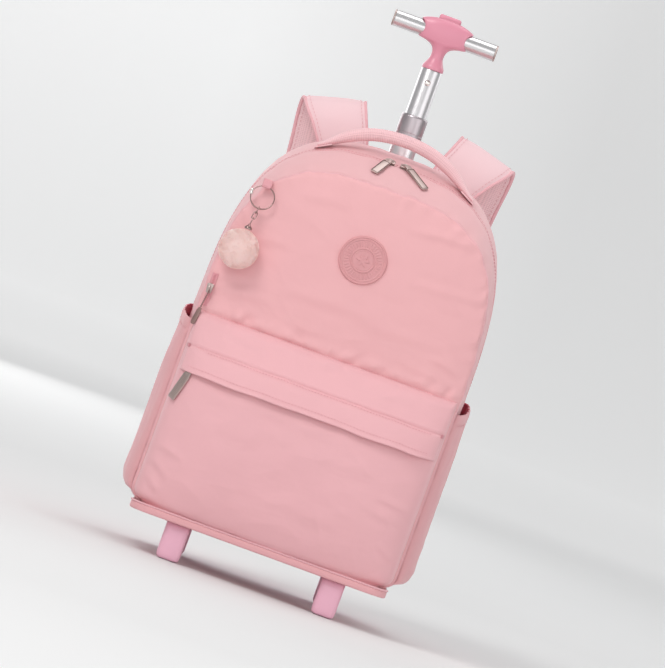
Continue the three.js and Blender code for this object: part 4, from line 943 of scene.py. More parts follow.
# ------------------------------------------------------------------ side pockets
def side_pocket(sign, name, node):
    nu, nv = 96, 92
    a = np.linspace(0, 1, nu)
    b = np.linspace(0, 1, nv)
    b = 0.5 * b + 0.5 * np.sin(b * np.pi / 2)
    A, B = np.meshgrid(a, b, indexing="ij")
    Y = -47 + 130 * A
    zb = np.interp(Y, BOTTOM[:, 0], BOTTOM[:, 1])
    z_top = 257 - 13 * (1 - A) ** 1.5
    Z = (zb + 7) + (z_top - zb - 7) * B
    puff = 7.5 * np.clip(1 - np.abs(2 * A - 1) ** 3.2, 0, None) * np.minimum(1, (B / 0.09) ** 0.6) * np.where(B > 0.75, 1 - 0.28 * (B - 0.75) / 0.25, 1)
    base = side_x(Y, Z) + 0.8 + 1.2 * np.clip(1 - B / 0.3, 0, None) + puff + 2.2
    P = np.stack([0 * Y, Y, Z], -1)
    rim = (1 - B) * 195
    edge = np.minimum(A, 1 - A) * 130
    d = 0.9 * crinkle(P, 60, 51 + (sign > 0), (1, 1.3, 0.7)) * step(0, 18, edge) * step(0, 16, rim)
    s = np.stack([Y, 0 * Y, 0 * Y], -1)
    d += np.exp(-rim / 12.0) * 0.8 * waves(s, 11, 55 + (sign > 0), n=9) * step(0, 12, edge)
    d += 0.8 * np.exp(-(((rim - 4.5) / 4.0) ** 2))  # the hem's doubled cloth
    d -= 0.7 * np.exp(-(((rim - 11.5) / 1.2) ** 2))
    sv = np.stack([Z, 0 * Z, 0 * Z], -1)
    d += np.exp(-edge / 5.0) * 0.6 * waves(sv, 17, 57 + (sign > 0), n=9)
    foot = B * (z_top - zb - 7)
    sewn = np.minimum(edge, foot)
    X = sign * (base + d * step(0, 5, foot) - 3.6 * np.exp(-sewn / 1.7))
    acc = Acc()
    g = np.stack([X, Y, Z], -1)
    # The pocket wall's inner faces take the deep red: painted shade inside the pocket.
    sheet_of(acc, g, 1.8, face=(0, 18, 150), inner_mat=1)
    ob = acc.build(name, [MAT["side"], MAT["pocket_inside_shade"]], replaces=[node])
    st = Acc()
    y = np.linspace(-44, 80, 90)
    al = (y + 47) / 130
    z = 257 - 13 * (1 - al) ** 1.5 - 11.0
    pts = np.stack([np.interp(y, Y[:, 0], X[:, int(nv * 0.925)]) + sign * 0.1, y, z], 1)
    stitches(st, pts, np.array([sign, 0, 0]), pitch=3.8, length=2.6, r=0.26)
    st.build(name + "_stitching", [MAT["thread"]])
    return weld(ob)


# ------------------------------------------------------------------ grab handle
def grab_handle():
    half = [(-87, 9, 461.1, 10, 2.2), (-80, 9, 465.1, 9.6, 2.6), (-70, 9.5, 472.6, 8, 4.6), (-55, 10, 482.6, 7, 6.2), (-36, 10.5, 490.6, 6.8, 6.6), (-18, 11, 494.5, 6.8, 6.6), (0, 11, 495.8, 6.8, 6.6)]
    rows = half + [(-r[0], *r[1:]) for r in half[-2::-1]]
    t = smooth_table(rows, 22)
    c, a, b = t[:, :3], t[:, 3], t[:, 4]
    tan = unit(np.gradient(c, axis=0))
    nrm = unit(np.stack([-tan[:, 2], 0 * tan[:, 0], tan[:, 0]], 1))
    seg = 56
    ang = np.linspace(0, 2 * np.pi, seg, endpoint=False)
    ca, sa = np.cos(ang), np.sin(ang)
    e = 0.86
    cc, ss = np.sign(ca) * np.abs(ca) ** e, np.sign(sa) * np.abs(sa) ** e
    s = lengths(c)
    mid = step(14, 34, s) * step(s[-1] - 14, s[-1] - 34, s)
    k1 = 2 * np.pi / 5.2
    arcv = ang * 6.8
    tex = np.sin(k1 * s[:, None] + round(2 * np.pi * 6.8 / 5.2) * ang[None, :]) * np.sin(k1 * s[:, None] - round(2 * np.pi * 6.8 / 5.2) * ang[None, :])
    r = 1 + 0 * tex
    g = c[:, None] + np.stack([0 * ca, ca, 0 * ca], 1)[None] * 0
    g = c[:, None, :] + cc[None, :, None] * a[:, None, None] * np.array([0, 1, 0]) + ss[None, :, None] * b[:, None, None] * nrm[:, None, :]
    n = normals(g, False, True)
    if np.sum(n * (g - c[:, None])) < 0:
        n = -n
    g = g + n * (0.42 * tex * mid[:, None])[..., None]
    del r, arcv
    acc = Acc()
    f, ij = quads(len(c), seg, False, True)
    acc.add(g, f, 0, grid_uv(ij, np.append(s, s[-1] + 1), np.linspace(0, 2 * np.pi * 6.8, seg + 1)))
    for k, o in ((0, -1), (len(c) - 1, 1)):
        acc.add(np.concatenate([g[k], [c[k]]]), [(i, (i + 1) % seg, seg)[::o] for i in range(seg)], 0)
    # squared ends, sewn down behind the zip with a box and a cross
    for sx in (-1, 1):
        th = math.atan2(c[6][2] - c[0][2], c[6][0] - c[0][0])
        R = np.array([[math.cos(th), 0, -math.sin(th)], [0, 1, 0], [math.sin(th), 0, math.cos(th)]])
        if sx > 0:
            R = np.diag([-1, 1, 1]) @ R @ np.diag([-1, 1, 1])
        at = np.array([sx * 80.5, 9, float(top_z(80.5, 9)) + 0.9])
        blocks(acc, (19, 21, 1.6), at, R, bevel=0.6, mat=0)
        top = at + R @ np.array([0, 0, 0.85])
        ux, uy = R @ np.array([1, 0, 0]), np.array([0, 1, 0])
        sq = [top + ux * p * 6.6 + uy * q * 8.6 for p, q in ((-1, -1), (1, -1), (1, 1), (-1, 1), (-1, -1))]
        n0 = R @ np.array([0, 0, 1])
        for p, q in list(zip(sq[:-1], sq[1:])) + [(sq[0], sq[2]), (sq[1], sq[3])]:
            stitches(acc, np.array([p, (p + q) / 2, q]), n0, pitch=3.0, length=2.1, r=0.28, mat=1)
    ob = acc.build("grab_handle_cloth", [MAT["grab"], MAT["thread"]], replaces=["grab_handle"])
    return weld(ob)


# ------------------------------------------------------------------ shoulder straps
STRAP = [(56, 99.5, 432, 0, 50), (57.5, 100.5, 452, -0.04, 52), (64, 103, 474, -0.14, 56), (75, 109, 495, -0.24, 61), (83.5, 119, 508.5, -0.28, 67), (86.5, 130, 512, -0.28, 69), (88, 141, 506, -0.26, 69),
         (88, 149, 491, -0.22, 68), (86, 154.5, 465, -0.12, 66), (84, 157, 430, -0.04, 64), (83, 157, 380, 0, 62), (83, 153, 320, 0.02, 60), (86, 146, 265, 0.05, 55), (91, 139, 222, 0.08, 46), (93.6, 135.6, 208.5, 0.1, 38)]
WEBBING = [(97, 133, 187.2), (100, 131, 176), (110, 122, 150), (120, 110, 130), (127, 101, 119), (130, 96.4, 110), (131, 95.6, 103)]


def ribbon_frame(c, slope):
    along = unit(np.gradient(c, axis=0))
    wide = np.stack([np.ones(len(c)), np.zeros(len(c)), slope], 1)
    wide = unit(wide - along * np.sum(wide * along, 1, keepdims=True))
    return along, wide, unit(np.cross(along, wide))


def strap(sign, name, node):
    t = smooth_table(STRAP, 16)
    c, s, w = t[:, :3], t[:, 3], t[:, 4]
    along, wide, out = ribbon_frame(c, s)
    L = lengths(c)
    seg = 44
    acc = Acc()
    ang = np.linspace(0, 2 * np.pi, seg, endpoint=False)
    # cross-section: a flat lens with fuller middle, thinner at the bound edges
    ca, sa = np.cos(ang), np.sin(ang)
    px = np.sign(ca) * np.abs(ca) ** 0.55
    py = np.sign(sa) * np.abs(sa) ** 0.62 * (0.62 + 0.38 * (1 - np.abs(px) ** 3))
    hw = (w / 2 - 1.6)[:, None]
    ht = (4.5 * np.minimum(1, np.minimum(L, L[-1] - L) / 10 * 0.5 + 0.5))[:, None]
    X, O = px[None, :] * hw, py[None, :] * ht
    P = np.stack([X, O, np.broadcast_to(L[:, None], X.shape)], -1)
    dd = 0.3 * crinkle(P, 40, 61, (1, 1, 0.8)) + 0.25 * waves(np.stack([L[:, None] + 0 * X, 0 * X, 0 * X], -1), 12, 63, n=8) * np.abs(px)[None, :] ** 4
    O = O + np.sign(sa)[None, :] * dd * np.minimum(1, np.abs(sa)[None, :] * 2)
    g = c[:, None] + wide[:, None] * X[..., None] + out[:, None] * O[..., None]
    g[..., 0] *= sign
    f, ij = quads(len(c), seg, False, True)
    mats = np.where(np.sin(ang[ij[1]] + np.pi / seg) > 0.02, 1, 0)
    acc.add(g, f, mats, grid_uv(ij, np.append(L, L[-1] + 1), np.linspace(0, 120, seg + 1)))
    for k, o in ((0, -1), (len(c) - 1, 1)):
        cen = c[k] * np.array([sign, 1, 1])
        acc.add(np.concatenate([g[k], [cen]]), [(i, (i + 1) % seg, seg)[::o] for i in range(seg)], 0)
    for e in (-1, 1):
        edge = c + wide * (e * (w / 2 - 1.9))[:, None]
        edge[:, 0] *= sign
        o2 = out * np.array([sign, 1, 1])
        tube(acc, edge, 1.9, 12, mat=2, up=tuple(o2[0]), flat=1.25)
        st = c + wide * (e * (w / 2 - 5.4))[:, None] - out * (4.5 * (0.62 + 0.38 * (1 - 0.8**3)))[..., None] if False else None
        for side in (-1, 1):
            h = 4.5 * 0.62 + 4.5 * 0.38 * (1 - 0.84**3)
            st = c + wide * (e * (w / 2 - 1.6) * 0.84)[:, None] + out * side * (h * 0.95)
            st[:, 0] *= sign
            stitches(acc, st[6:-6], (o2 * side)[6:-6], pitch=4.4, length=3.0, r=0.24, mat=3)
    ob = acc.build(name, [MAT["strap"], MAT["under"], MAT["bind"], MAT["thread"]], replaces=[node])
    return weld(ob)


def webbing(sign, name, node):
    t = smooth_table(WEBBING, 14)
    c = t[:, :3]
    along, wide, out = ribbon_frame(c, np.zeros(len(c)))
    across = np.linspace(-12.5, 12.5, 13)
    g = c[:, None] + wide[:, None] * across[None, :, None] + out[:, None] * 0.8
    g[..., 0] *= sign
    acc = Acc()
    sheet_of(acc, g, 1.5, face=1.0)
    ob = acc.build(name, [MAT["web"]], replaces=[node])
    return weld(ob)


# ------------------------------------------------------------------ back of the bag
def back_panel():
    acc = Acc()
    y0 = 88.4
    o = outline(88.0)
    c = np.array([0, 270.0])
    rings = np.array([0.12, 0.3, 0.5, 0.7, 0.85, 0.94, 0.975, 0.99, 1.0])
    lift = np.array([1, 1, 1, 1, 1, 0.96, 0.8, 0.5, 0.1]) * 4.2
    g = np.zeros((len(o), len(rings), 3))
    for j, r in enumerate(rings):
        g[:, j, 0] = o[:, 0] * r
        g[:, j, 2] = c[1] + (o[:, 1] - c[1]) * r
        g[:, j, 1] = y0 + lift[j]
    g[..., 1] += 0.25 * crinkle(g, 60, 81)
    f, ij = quads(len(o), len(rings), True)
    n = len(o)
    a, b = ij
    q = g[..., [0, 2]]
    acc.add(g, f, 0, np.stack([q[a, b], q[(a + 1) % n, b], q[(a + 1) % n, b + 1], q[a, b + 1]], 1))
    acc.add(np.concatenate([g[:, 0], [[0, y0 + 4.2, 270]]]), [(i, (i + 1) % n, n) for i in range(n)], 0)
    rim = np.stack([g[:, -1], np.stack([o[:, 0] * 0.995, np.full(n, y0), c[1] + (o[:, 1] - c[1]) * 0.995], 1)], 1)
    f, _ = quads(n, 2, True)
    acc.add(rim, f, 0)
    acc.add(np.concatenate([rim[:, 1], [[0, y0, 270]]]), [(i, (i + 1) % n, n) for i in range(n)], 0)
    return weld(acc.build("back_panel_cloth", [MAT["gusset"]], replaces=["back_panel"]))


def back_pad(sign, name, node):
    hx, hz, cx, cz, deep, y0 = 46, 150, 88, 268, 13, 93.2
    n, rings = 160, np.concatenate([np.linspace(0.06, 0.9, 34), [0.93, 0.955, 0.975, 0.99, 1.0]])
    a = np.linspace(0, 2 * np.pi, n, endpoint=False)
    sx = hx * np.sign(np.cos(a)) * np.abs(np.cos(a)) ** 0.55
    sz = hz * np.sign(np.sin(a)) * np.abs(np.sin(a)) ** 0.4
    g = np.zeros((n, len(rings), 3))
    for j, r in enumerate(rings):
        g[:, j, 0] = sx * r
        g[:, j, 2] = sz * r
        g[:, j, 1] = (deep - 0.4) * (1 - r**7) ** 0.55
    x, z = g[..., 0].copy(), g[..., 2].copy()
    # sewn channels across the pad
    for zc in (-88, -30, 30, 88):
        g[..., 1] -= 3.2 * np.exp(-(((z - zc) / 4.2) ** 2)) * step(1.0, 0.9, np.abs(x) / hx)
    g[..., 1] = np.maximum(g[..., 1], 0.3)
    g[..., 1] += 0.35 * crinkle(np.stack([x, 0 * x, z], -1), 34, 91) * step(0, 3, g[..., 1])
    g[..., 0] = sign * (cx + g[..., 0])
    g[..., 1] += y0
    g[..., 2] += cz
    acc = Acc()
    f, ij = quads(n, len(rings), True)
    p, q = ij
    w = g[..., [0, 2]]
    acc.add(g, f, 0, np.stack([w[p, q], w[(p + 1) % n, q], w[(p + 1) % n, q + 1], w[p, q + 1]], 1))
    acc.add(np.concatenate([g[:, 0], [[sign * cx, y0 + deep - 0.4, cz]]]), [(i, (i + 1) % n, n) for i in range(n)], 0)
    back = np.stack([g[:, -1], np.stack([sign * (cx + sx * 0.98), np.full(n, y0 - 0.1), cz + sz * 0.98], 1)], 1)
    f, _ = quads(n, 2, True)
    acc.add(back, f, 0)
    acc.add(np.concatenate([back[:, 1], [[sign * cx, y0 - 0.1, cz]]]), [(i, (i + 1) % n, n) for i in range(n)], 0)
    edge = np.stack([sign * (cx + sx), np.full(n, y0 + 0.9), cz + sz], 1)
    tube(acc, edge, 1.5, 10, True, mat=1, up=(0, 1, 0))
    return weld(acc.build(name, [MAT["air"], MAT["bind"]], replaces=[node]))


def mast_cover():
    y0, r, my = 93.2, 20.0, 106.0
    z = np.linspace(112, 424, 70)
    prof = [(-37, y0 + 1.6), (-33, y0 + 1.6), (-28, y0 + 1.8), (-24.5, y0 + 3.2)]
    arc = [(math.cos(t) * r, my + math.sin(t) * r) for t in np.linspace(math.pi, 0, 41)]
    pts = np.array(prof + arc + [(-x, y) for x, y in prof[::-1]])
    t = lengths(pts)
    q = np.linspace(0, t[-1], 90)
    pts = np.stack([np.interp(q, t, pts[:, 0]), np.interp(q, t, pts[:, 1])], 1)
    g = np.stack([np.repeat(pts[:, 0][:, None], 70, 1), np.repeat(pts[:, 1][:, None], 70, 1), np.repeat(z[None], 90, 0)], -1)
    g[..., 1] += 0.5 * crinkle(g, 36, 95, (1, 1, 0.6)) * step(94.5, 99, g[..., 1])
    acc = Acc()
    sheet_of(acc, g, 2.0, face=(0, 60, 268))
    ob = acc.build("mast_cover_cloth", [MAT["gusset"], MAT["thread"]], replaces=["mast_cover"])
    st = Acc()
    for sx in (-32.5, 32.5):
        p = np.stack([np.full(60, sx), np.full(60, y0 + 1.75), np.linspace(116, 420, 60)], 1)
        stitches(st, p, np.array([0, 1, 0]), pitch=4.2, length=3.0, r=0.28)
    st.build("mast_cover_stitching", [MAT["thread"]])
    return weld(ob)


# ------------------------------------------------------------------ badge
def badge():
    r0, zc = 25.7, 363.0
    n = 288
    rr = np.concatenate([np.linspace(0.6, 24.6, 78), [25.0, 25.3, 25.55, 25.7]])
    a = np.linspace(0, 2 * np.pi, n, endpoint=False)
    A, R = np.meshgrid(a, rr, indexing="ij")

    def ridge(c, w, h):
        return h * np.exp(-(((R - c) / w) ** 2))

    h = 1.2 + 0 * R
    h += ridge(24.2, 0.7, 1.0) + ridge(21.9, 0.42, 0.6) + ridge(12.4, 0.65, 0.95) + ridge(10.4, 0.4, 0.5)
    # a band of plain raised bars between the rings
    bars = step(0.35, 0.75, np.cos(A * 36)) * step(14.2, 15.0, R) * step(20.2, 19.4, R)
    long = step(0.35, 0.75, np.cos(A * 12 + 0.3)) * 0
    h += 0.62 * bars + long
    # a plain six-petal rosette in the middle
    lobes = 4.9 + 1.9 * np.cos(6 * A)
    h += 0.8 * step(lobes + 0.5, lobes - 0.5, R) - 0.5 * np.exp(-((R / 1.5) ** 2))
    h -= 0.25 * step(13.2, 13.8, R) * step(21.0, 20.4, R)
    edge = np.clip((r0 - R) / 0.9, 0, 1)
    h = h * np.sqrt(1 - (1 - edge) ** 2 * 0.98)
    X, Z = R * np.cos(A), zc + R * np.sin(A)
    Y = panel_y(X, Z) - 0.6 - h * 0.95
    g = np.stack([X, Y, Z], -1)
    acc = Acc()
    f, ij = quads(n, len(rr), True)
    p, q = ij
    w = g[..., [0, 2]]
    acc.add(g, f, 0, np.stack([w[p, q], w[(p + 1) % n, q], w[(p + 1) % n, q + 1], w[p, q + 1]], 1))
    acc.add(np.concatenate([g[:, 0], [[0, float(panel_y(0.0, zc)) - 1.9, zc]]]), [(i, (i + 1) % n, n) for i in range(n)], 0)
    b = g[:, -1].copy()
    b[:, 1] += 1.2
    f, _ = quads(n, 2, True)
    acc.add(np.stack([g[:, -1], b], 1), f, 0)
    acc.add(np.concatenate([b, [[0, float(panel_y(0.0, zc)) + 0.6, zc]]]), [(i, (i + 1) % n, n) for i in range(n)], 0)
    return weld(acc.build("badge_moulding", [MAT["badge"]], replaces=["badge"]))


# ------------------------------------------------------------------ sliders and pulls
def slider_piece(name, node, at, face, way, scale=1.0, body_h=3.4):
    R = basis(way, face)
    acc = Acc()
    o = [(-3.7, 5), (-2.2, 5.7), (2.2, 5.7), (3.7, 5), (2.7, -4.6), (1.6, -5.2), (-1.6, -5.2), (-2.7, -4.6)]
    o = [(x * scale, z * scale) for x, z in o]
    plate(acc, o, 1.1 * scale, np.array(at) + R @ np.array([0, -body_h * scale, 0]), R, bevel=0.3 * scale)
    plate(acc, o, 1.0 * scale, np.array(at) + R @ np.array([0, -0.9 * scale, 0]), R, bevel=0.3 * scale)
    blocks(acc, (1.6 * scale, 2.4 * scale, 4.4 * scale), np.array(at) + R @ np.array([0, -1.7 * scale, 1.6 * scale]), R, bevel=0.2 * scale)
    # arched bridge that carries the pull
    t = np.linspace(0, np.pi, 14)
    arch = np.stack([0 * t, -(body_h + 0.1 + 1.9 * np.sin(t)) * scale, 3.4 * np.cos(t) * scale], 1)
    tube(acc, np.array(at) + arch @ R.T, 0.62 * scale, 8, up=tuple(R[:, 0]), flat=1.5)
    return acc.build(name, [MAT["pull"]], replaces=[node], angle=40)


def pull_outline(length, width, r=1.8):
    h = width / 2
    pts = [(-h * 0.55, 0.4), (h * 0.55, 0.4), (h * 0.78, -0.6), (h * 0.82, -4.2), (h, -5.6), (h, -length + r)]
    pts += [(h - r + r * math.cos(a), -length + r + r * math.sin(a)) for a in np.linspace(-0.3, -math.pi / 2, 4)]
    pts += [(-h + r + r * math.cos(a), -length + r + r * math.sin(a)) for a in np.linspace(-math.pi / 2, -math.pi + 0.3, 4)]
    pts += [(-h, -length + r), (-h, -5.6), (-h * 0.82, -4.2), (-h * 0.78, -0.6)]
    return pts[::-1]


def pull_piece(name, node, start, end, width, face, thick=1.6, ribs=0):
    start, end = np.array(start, float), np.array(end, float)
    d = end - start
    L = float(np.linalg.norm(d))
    R = basis(d, face)
    acc = Acc()
    plate(acc, pull_outline(L, width), thick, start, R, bevel=0.42, segments=3)
    # a raised frame line round the plate and a sunk eye at the top
    h = width / 2 - 0.75
    loop = [(-h, -6.2), (h, -6.2), (h, -L + 1.1), (-h, -L + 1.1), (-h, -6.2)]
    if not ribs:
        path = np.array([(x, -0.06, z) for x, z in loop])
        tube(acc, start + path @ R.T, 0.45, 8, mat=1)
    for k in range(ribs):
        z = -7.2 - (L - 9.4) * k / (ribs - 1)
        tube(acc, start + np.array([(-width / 2 + 0.9, 0.05, z), (0, -0.12, z), (width / 2 - 0.9, 0.05, z)]) @ R.T, 0.42, 6, mat=0)
    t = np.linspace(0, 2 * np.pi, 20, endpoint=False)
    eye = np.stack([1.35 * np.cos(t), np.full(20, -0.05), -2.6 + 1.35 * np.sin(t)], 1)
    tube(acc, start + eye @ R.T, 0.34, 6, True)
    return acc.build(name, [MAT["pull"], MAT["edge"]], replaces=[node], angle=40)


def hardware():
    up = unit(np.array([0, -0.45, 0.893]))
    for side, m, end in (("left", -1, (-21, -36)), ("right", 1, (36, -33))):
        x = 8.5 * m
        z = float(top_z(x, ZIP_Y))
        at = np.array([x, ZIP_Y, z]) + up * 1.1
        slider_piece("main_slider_%s_metal" % side, "main_slider_" + side, at, up, (m, 0, -0.01))
        a = np.array([x + m * 1.5, ZIP_Y - 1, z]) + up * 6.0
        b = np.array([end[0], end[1], float(top_z(*end))]) + up * 2.7
        pull_piece("main_pull_%s_metal" % side, "main_pull_" + side, a, b, 9, up)
    x = -118.5
    f = facing(pocket_y, x, 199.0)
    slider_piece("pocket_slider_metal", "pocket_slider", (x, float(pocket_y(x, 199)) - 1.2, 199), f, (-1, 0, 0), 0.55, 3.0)
    low = facing(pocket_y, -134.0, 172.0)
    a = np.array([-128.6, float(pocket_y(-128.6, 193.4)), 193.4]) + low * 3.2
    b = np.array([-137.4, float(pocket_y(-137.4, 160)), 160]) + low * 3.4
    pull_piece("pocket_pull_metal", "pocket_pull", a, b, 10, low, 1.8, ribs=17)
    # short upright zip on the left margin of the front panel
    zx = -140.0
    zs = np.linspace(262, 298, 40)
    acc = Acc()
    g = np.stack([np.stack([np.full(40, zx + k), panel_y(zx + k, zs) - 1.2, zs], 1) for k in (-2.8, -1.4, 0, 1.4, 2.8)], 1)
    sheet_of(acc, g, 0.8, face=(0, 300, 280))
    for k in range(20):
        z = 263 + 1.75 * k
        blocks(acc, (2.0, 1.0, 1.1), (zx + (0.45 if k % 2 else -0.45), float(panel_y(zx, z)) - 1.9, z), bevel=0.2, segments=1, mat=1)
    acc.build("side_zip_coil", [MAT["tape"], MAT["coil"]], replaces=["side_zip"])
    f = facing(panel_y, zx, 281.0)
    at = np.array([zx, float(panel_y(zx, 281.0)) - 2.0, 281]) + f * 0.4
    slider_piece("side_slider_metal", "side_slider", at, f, (0, 0, -1), 0.95)
    # beaded chain and a thin pull hanging from it
    a = np.array([zx, float(panel_y(zx, 279.0)) - 8.0, 279.5])
    b = np.array([-145.4, float(panel_y(-143, 240)) - 8.2, 241.0])
    acc = Acc()
    d = unit(b - a)
    for k in range(9):
        c = a + d * (2.2 + 2.1 * k)
        rows = [(0, -0.95)] + [(0.95 * math.sin(t), -0.95 * math.cos(t)) for t in np.linspace(0.3, math.pi - 0.3, 6)] + [(0, 0.95)]
        lathe(acc, rows, c, seg=10)
    tube(acc, [a, b - d * 18], 0.35, 6)
    R = basis(b - a, (-0.35, -1, 0))
    plate(acc, [(-1.6, 0), (1.6, 0), (2.6, -4), (2.6, -17), (1.4, -19.2), (-1.4, -19.2), (-2.6, -17), (-2.6, -4)][::-1], 1.4, a + d * 20.6, R, bevel=0.35)
    acc.build("side_pull_metal", [MAT["side_pull"]], replaces=["side_pull"], angle=50)


# ------------------------------------------------------------------ key ring and pompom
def key_ring():
    kx, kz, kr, lean, ky = -121.0, 389.0, 12.6, 0.2, -64.5
    t = np.linspace(0, 4 * np.pi, 150)
    c, s = math.cos(-lean), math.sin(-lean)

    def place(q):
        q = np.asarray(q, float)
        return np.stack([q[:, 0] + kx, q[:, 1] * c - q[:, 2] * s + ky, q[:, 1] * s + q[:, 2] * c + kz], 1)

    off = 0.62 * np.tanh((t - 2 * np.pi) * 1.6)
    acc = Acc()
    tube(acc, place(np.stack([kr * np.cos(t + 2.4), off, kr * np.sin(t + 2.4)], 1)), 0.62, 10)
    acc.build("key_ring_wire", [MAT["wire"]], replaces=["key_ring"])
    # small silver clip at the ring's left
    acc = Acc()
    e = place(np.array([[-kr - 0.2, 0, 2.6]]))[0]
    rows = [(0, -3.4), (1.5, -3.2), (2.0, -2.4), (2.0, -0.6), (1.5, -0.1), (1.5, 0.4), (2.0, 0.9), (2.0, 2.2), (1.4, 3.0), (0, 3.2)]
    lathe(acc, rows, e, seg=24)
    acc.build("key_ring_clip", [MAT["silver"]])
    reach = (kr * math.sin(lean), kr * math.cos(lean))
    # cloth tab: a flat loop round the ring, sewn into the seam
    acc = Acc()
    ty, tz = ky + reach[0], kz + reach[1]
    path = [(-1.0, 8.6), (-1.9, 5.6), (-2.7, 2.4), (-3.4, -0.8), (-2.6, -3.0), (0, -3.9), (2.6, -3.0), (3.5, -0.6), (3.9, 2.6), (4.6, 5.8), (5.6, 8.6)]
    pts = smooth_table(path, 6)
    n = len(pts)
    across = np.linspace(-4.4, 4.4, 9)
    g = np.stack([np.stack([np.full(n, kx + a), ty + pts[:, 0] + 0.6, tz + 0.7 + pts[:, 1] * 0.75], 1) for a in across], 1)
    sheet_of(acc, g, 1.2, face=(kx, ty, tz))
    acc.build("key_loop_tape", [MAT["web"]], replaces=["key_loop"])
    wire = np.array([kx, ky - reach[0], kz - reach[1]])
    pom = np.array([-126.0, -75.4, 331.0])
    target = np.array([pom[0] + 1.5, pom[1] + 1.5, pom[2] + 22])
    d = unit(target - wire)
    first = wire + d * 2.1
    for k in range(3):
        acc = Acc()
        a = np.linspace(0, 2 * np.pi, 36, endpoint=False)
        sn = np.sin(a)
        loc = np.stack([2.0 * np.cos(a), 0 * a, 2.1 * np.tanh(sn * 6) + 2.0 * sn], 1)
        R = basis(d, (1, 0.05, 0) if k % 2 == 0 else (0, -1, 0.4))
        tube(acc, first + d * 6.5 * k + loc @ R.T, 0.55, 8, True)
        acc.build("chain_link_%d_wire" % (k + 1), [MAT["wire"]], replaces=["chain_link_%d" % (k + 1)])
    cap = first + d * (2 * 6.5 + 5.3)
    acc = Acc()
    lathe(acc, [(0, -4.6), (4.0, -4.5), (4.2, -3.6), (3.9, -2.2), (2.6, -1.1), (1.4, -0.6), (0, -0.4)], cap, seg=32)
    a = np.linspace(0, np.pi, 12)
    tube(acc, cap + np.stack([1.3 * np.cos(a), 0 * a, -0.8 + 1.9 * np.sin(a)], 1), 0.4, 8, up=(0, 1, 0))
    acc.build("pompom_cap_metal", [MAT["wire"]], replaces=["pompom_cap"])
    fur(pom)


def fur(pom):
    """A ball of soft fur: a felt core and many short tapered strands."""
    r = np.random.RandomState(7)
    acc = Acc()
    core = np.array([18.6, 11.8, 18.6])
    rows = [(math.sin(t), -math.cos(t)) for t in np.linspace(0, np.pi, 40)]
    sub = Acc()
    lathe(sub, [(0, -1)] + rows[1:-1] + [(0, 1)], (0, 0, 0), seg=64)
    v = np.concatenate(sub.v)
    acc.add(v * core * (1 + 0.03 * waves(v * 20, 14, 9, n=8))[:, None] + pom, sub.f, 1)
    count = 20000
    k = np.arange(count) + 0.5
    phi = np.arccos(1 - 2 * k / count)
    lam = np.pi * (1 + 5**0.5) * k
    d = np.stack([np.cos(lam) * np.sin(phi), np.sin(lam) * np.sin(phi), np.cos(phi)], 1)
    d = unit(d + r.normal(size=d.shape) * 0.02)
    tuft = np.stack([waves(d * 20, 11, s, n=10) for s in (1, 2, 3)], 1)
    root = pom + d * core * 0.96
    comb = r.normal(size=d.shape) * 0.8 + tuft * 0.5 + np.array([0, 0, -0.5])
    comb = unit(comb - d * np.sum(comb * d, 1, keepdims=True))
    rise = (np.array([21.6, 14.5, 21.6]) - core * 0.96) * (0.9 + 0.1 * waves(d * 20, 14, 9, n=8) + r.uniform(-0.25, 0.12, count))[:, None]
    lay = (3.0 + r.uniform(-1, 1, count))[:, None]
    side = unit(np.cross(comb, d))
    ts = np.array([0, 0.4, 0.75, 1.0])
    wid = np.array([1, 0.95, 0.7, 0.12]) * 0.2
    pts = []
    for t, q in zip(ts, wid):
        c = root + d * rise * math.sin(t * math.pi / 2) + comb * lay * t**1.6 - np.array([0, 0, 0.6]) * t
        pts.append(c + side * q)
        pts.append(c - side * q)
    v = np.stack(pts, 1)
    base = np.arange(count)[:, None] * 8
    f = np.concatenate([base + np.array([2 * i, 2 * i + 1, 2 * i + 3, 2 * i + 2]) for i in range(3)], 0)
    acc.add(v.reshape(-1, 3), f, 0)
    me = acc.build("pompom_fur", [MAT["fur"], MAT["felt"]], replaces=["pompom"])
    return me


def fur_material():
    m, nt, b = new_material("fur_strands")
    N = Nodes(nt)
    tc = N.new("ShaderNodeTexCoord")
    n = N.noise(tc.outputs["Object"], 260, 3)
    N.link(N.mix(n, lin(255, 238, 233), lin(255, 229, 224)), b.inputs["Base Color"])
    N.link(N.math("ADD", N.math("MULTIPLY", n, 0.1), 0.72), b.inputs["Roughness"])
    b.inputs["Sheen Weight"].default_value = 0.6
    # The strands glow faintly pink: painted light standing in for light scattered through the fur.
    b.inputs["Emission Color"].default_value = (1, 0.5, 0.49, 1)
    b.inputs["Emission Strength"].default_value = 0.07
    b.inputs["Subsurface Weight"].default_value = 0.5
    b.inputs["Subsurface Radius"].default_value = (0.005, 0.0034, 0.003)
    MAT["fur"] = m
    MAT["felt"] = fabric("fur_felt", lin(255, 230, 225), rough=0.9, shade=0.97, glow=0.3)


# ------------------------------------------------------------------ mast, grip
MAST_Y = 109.0


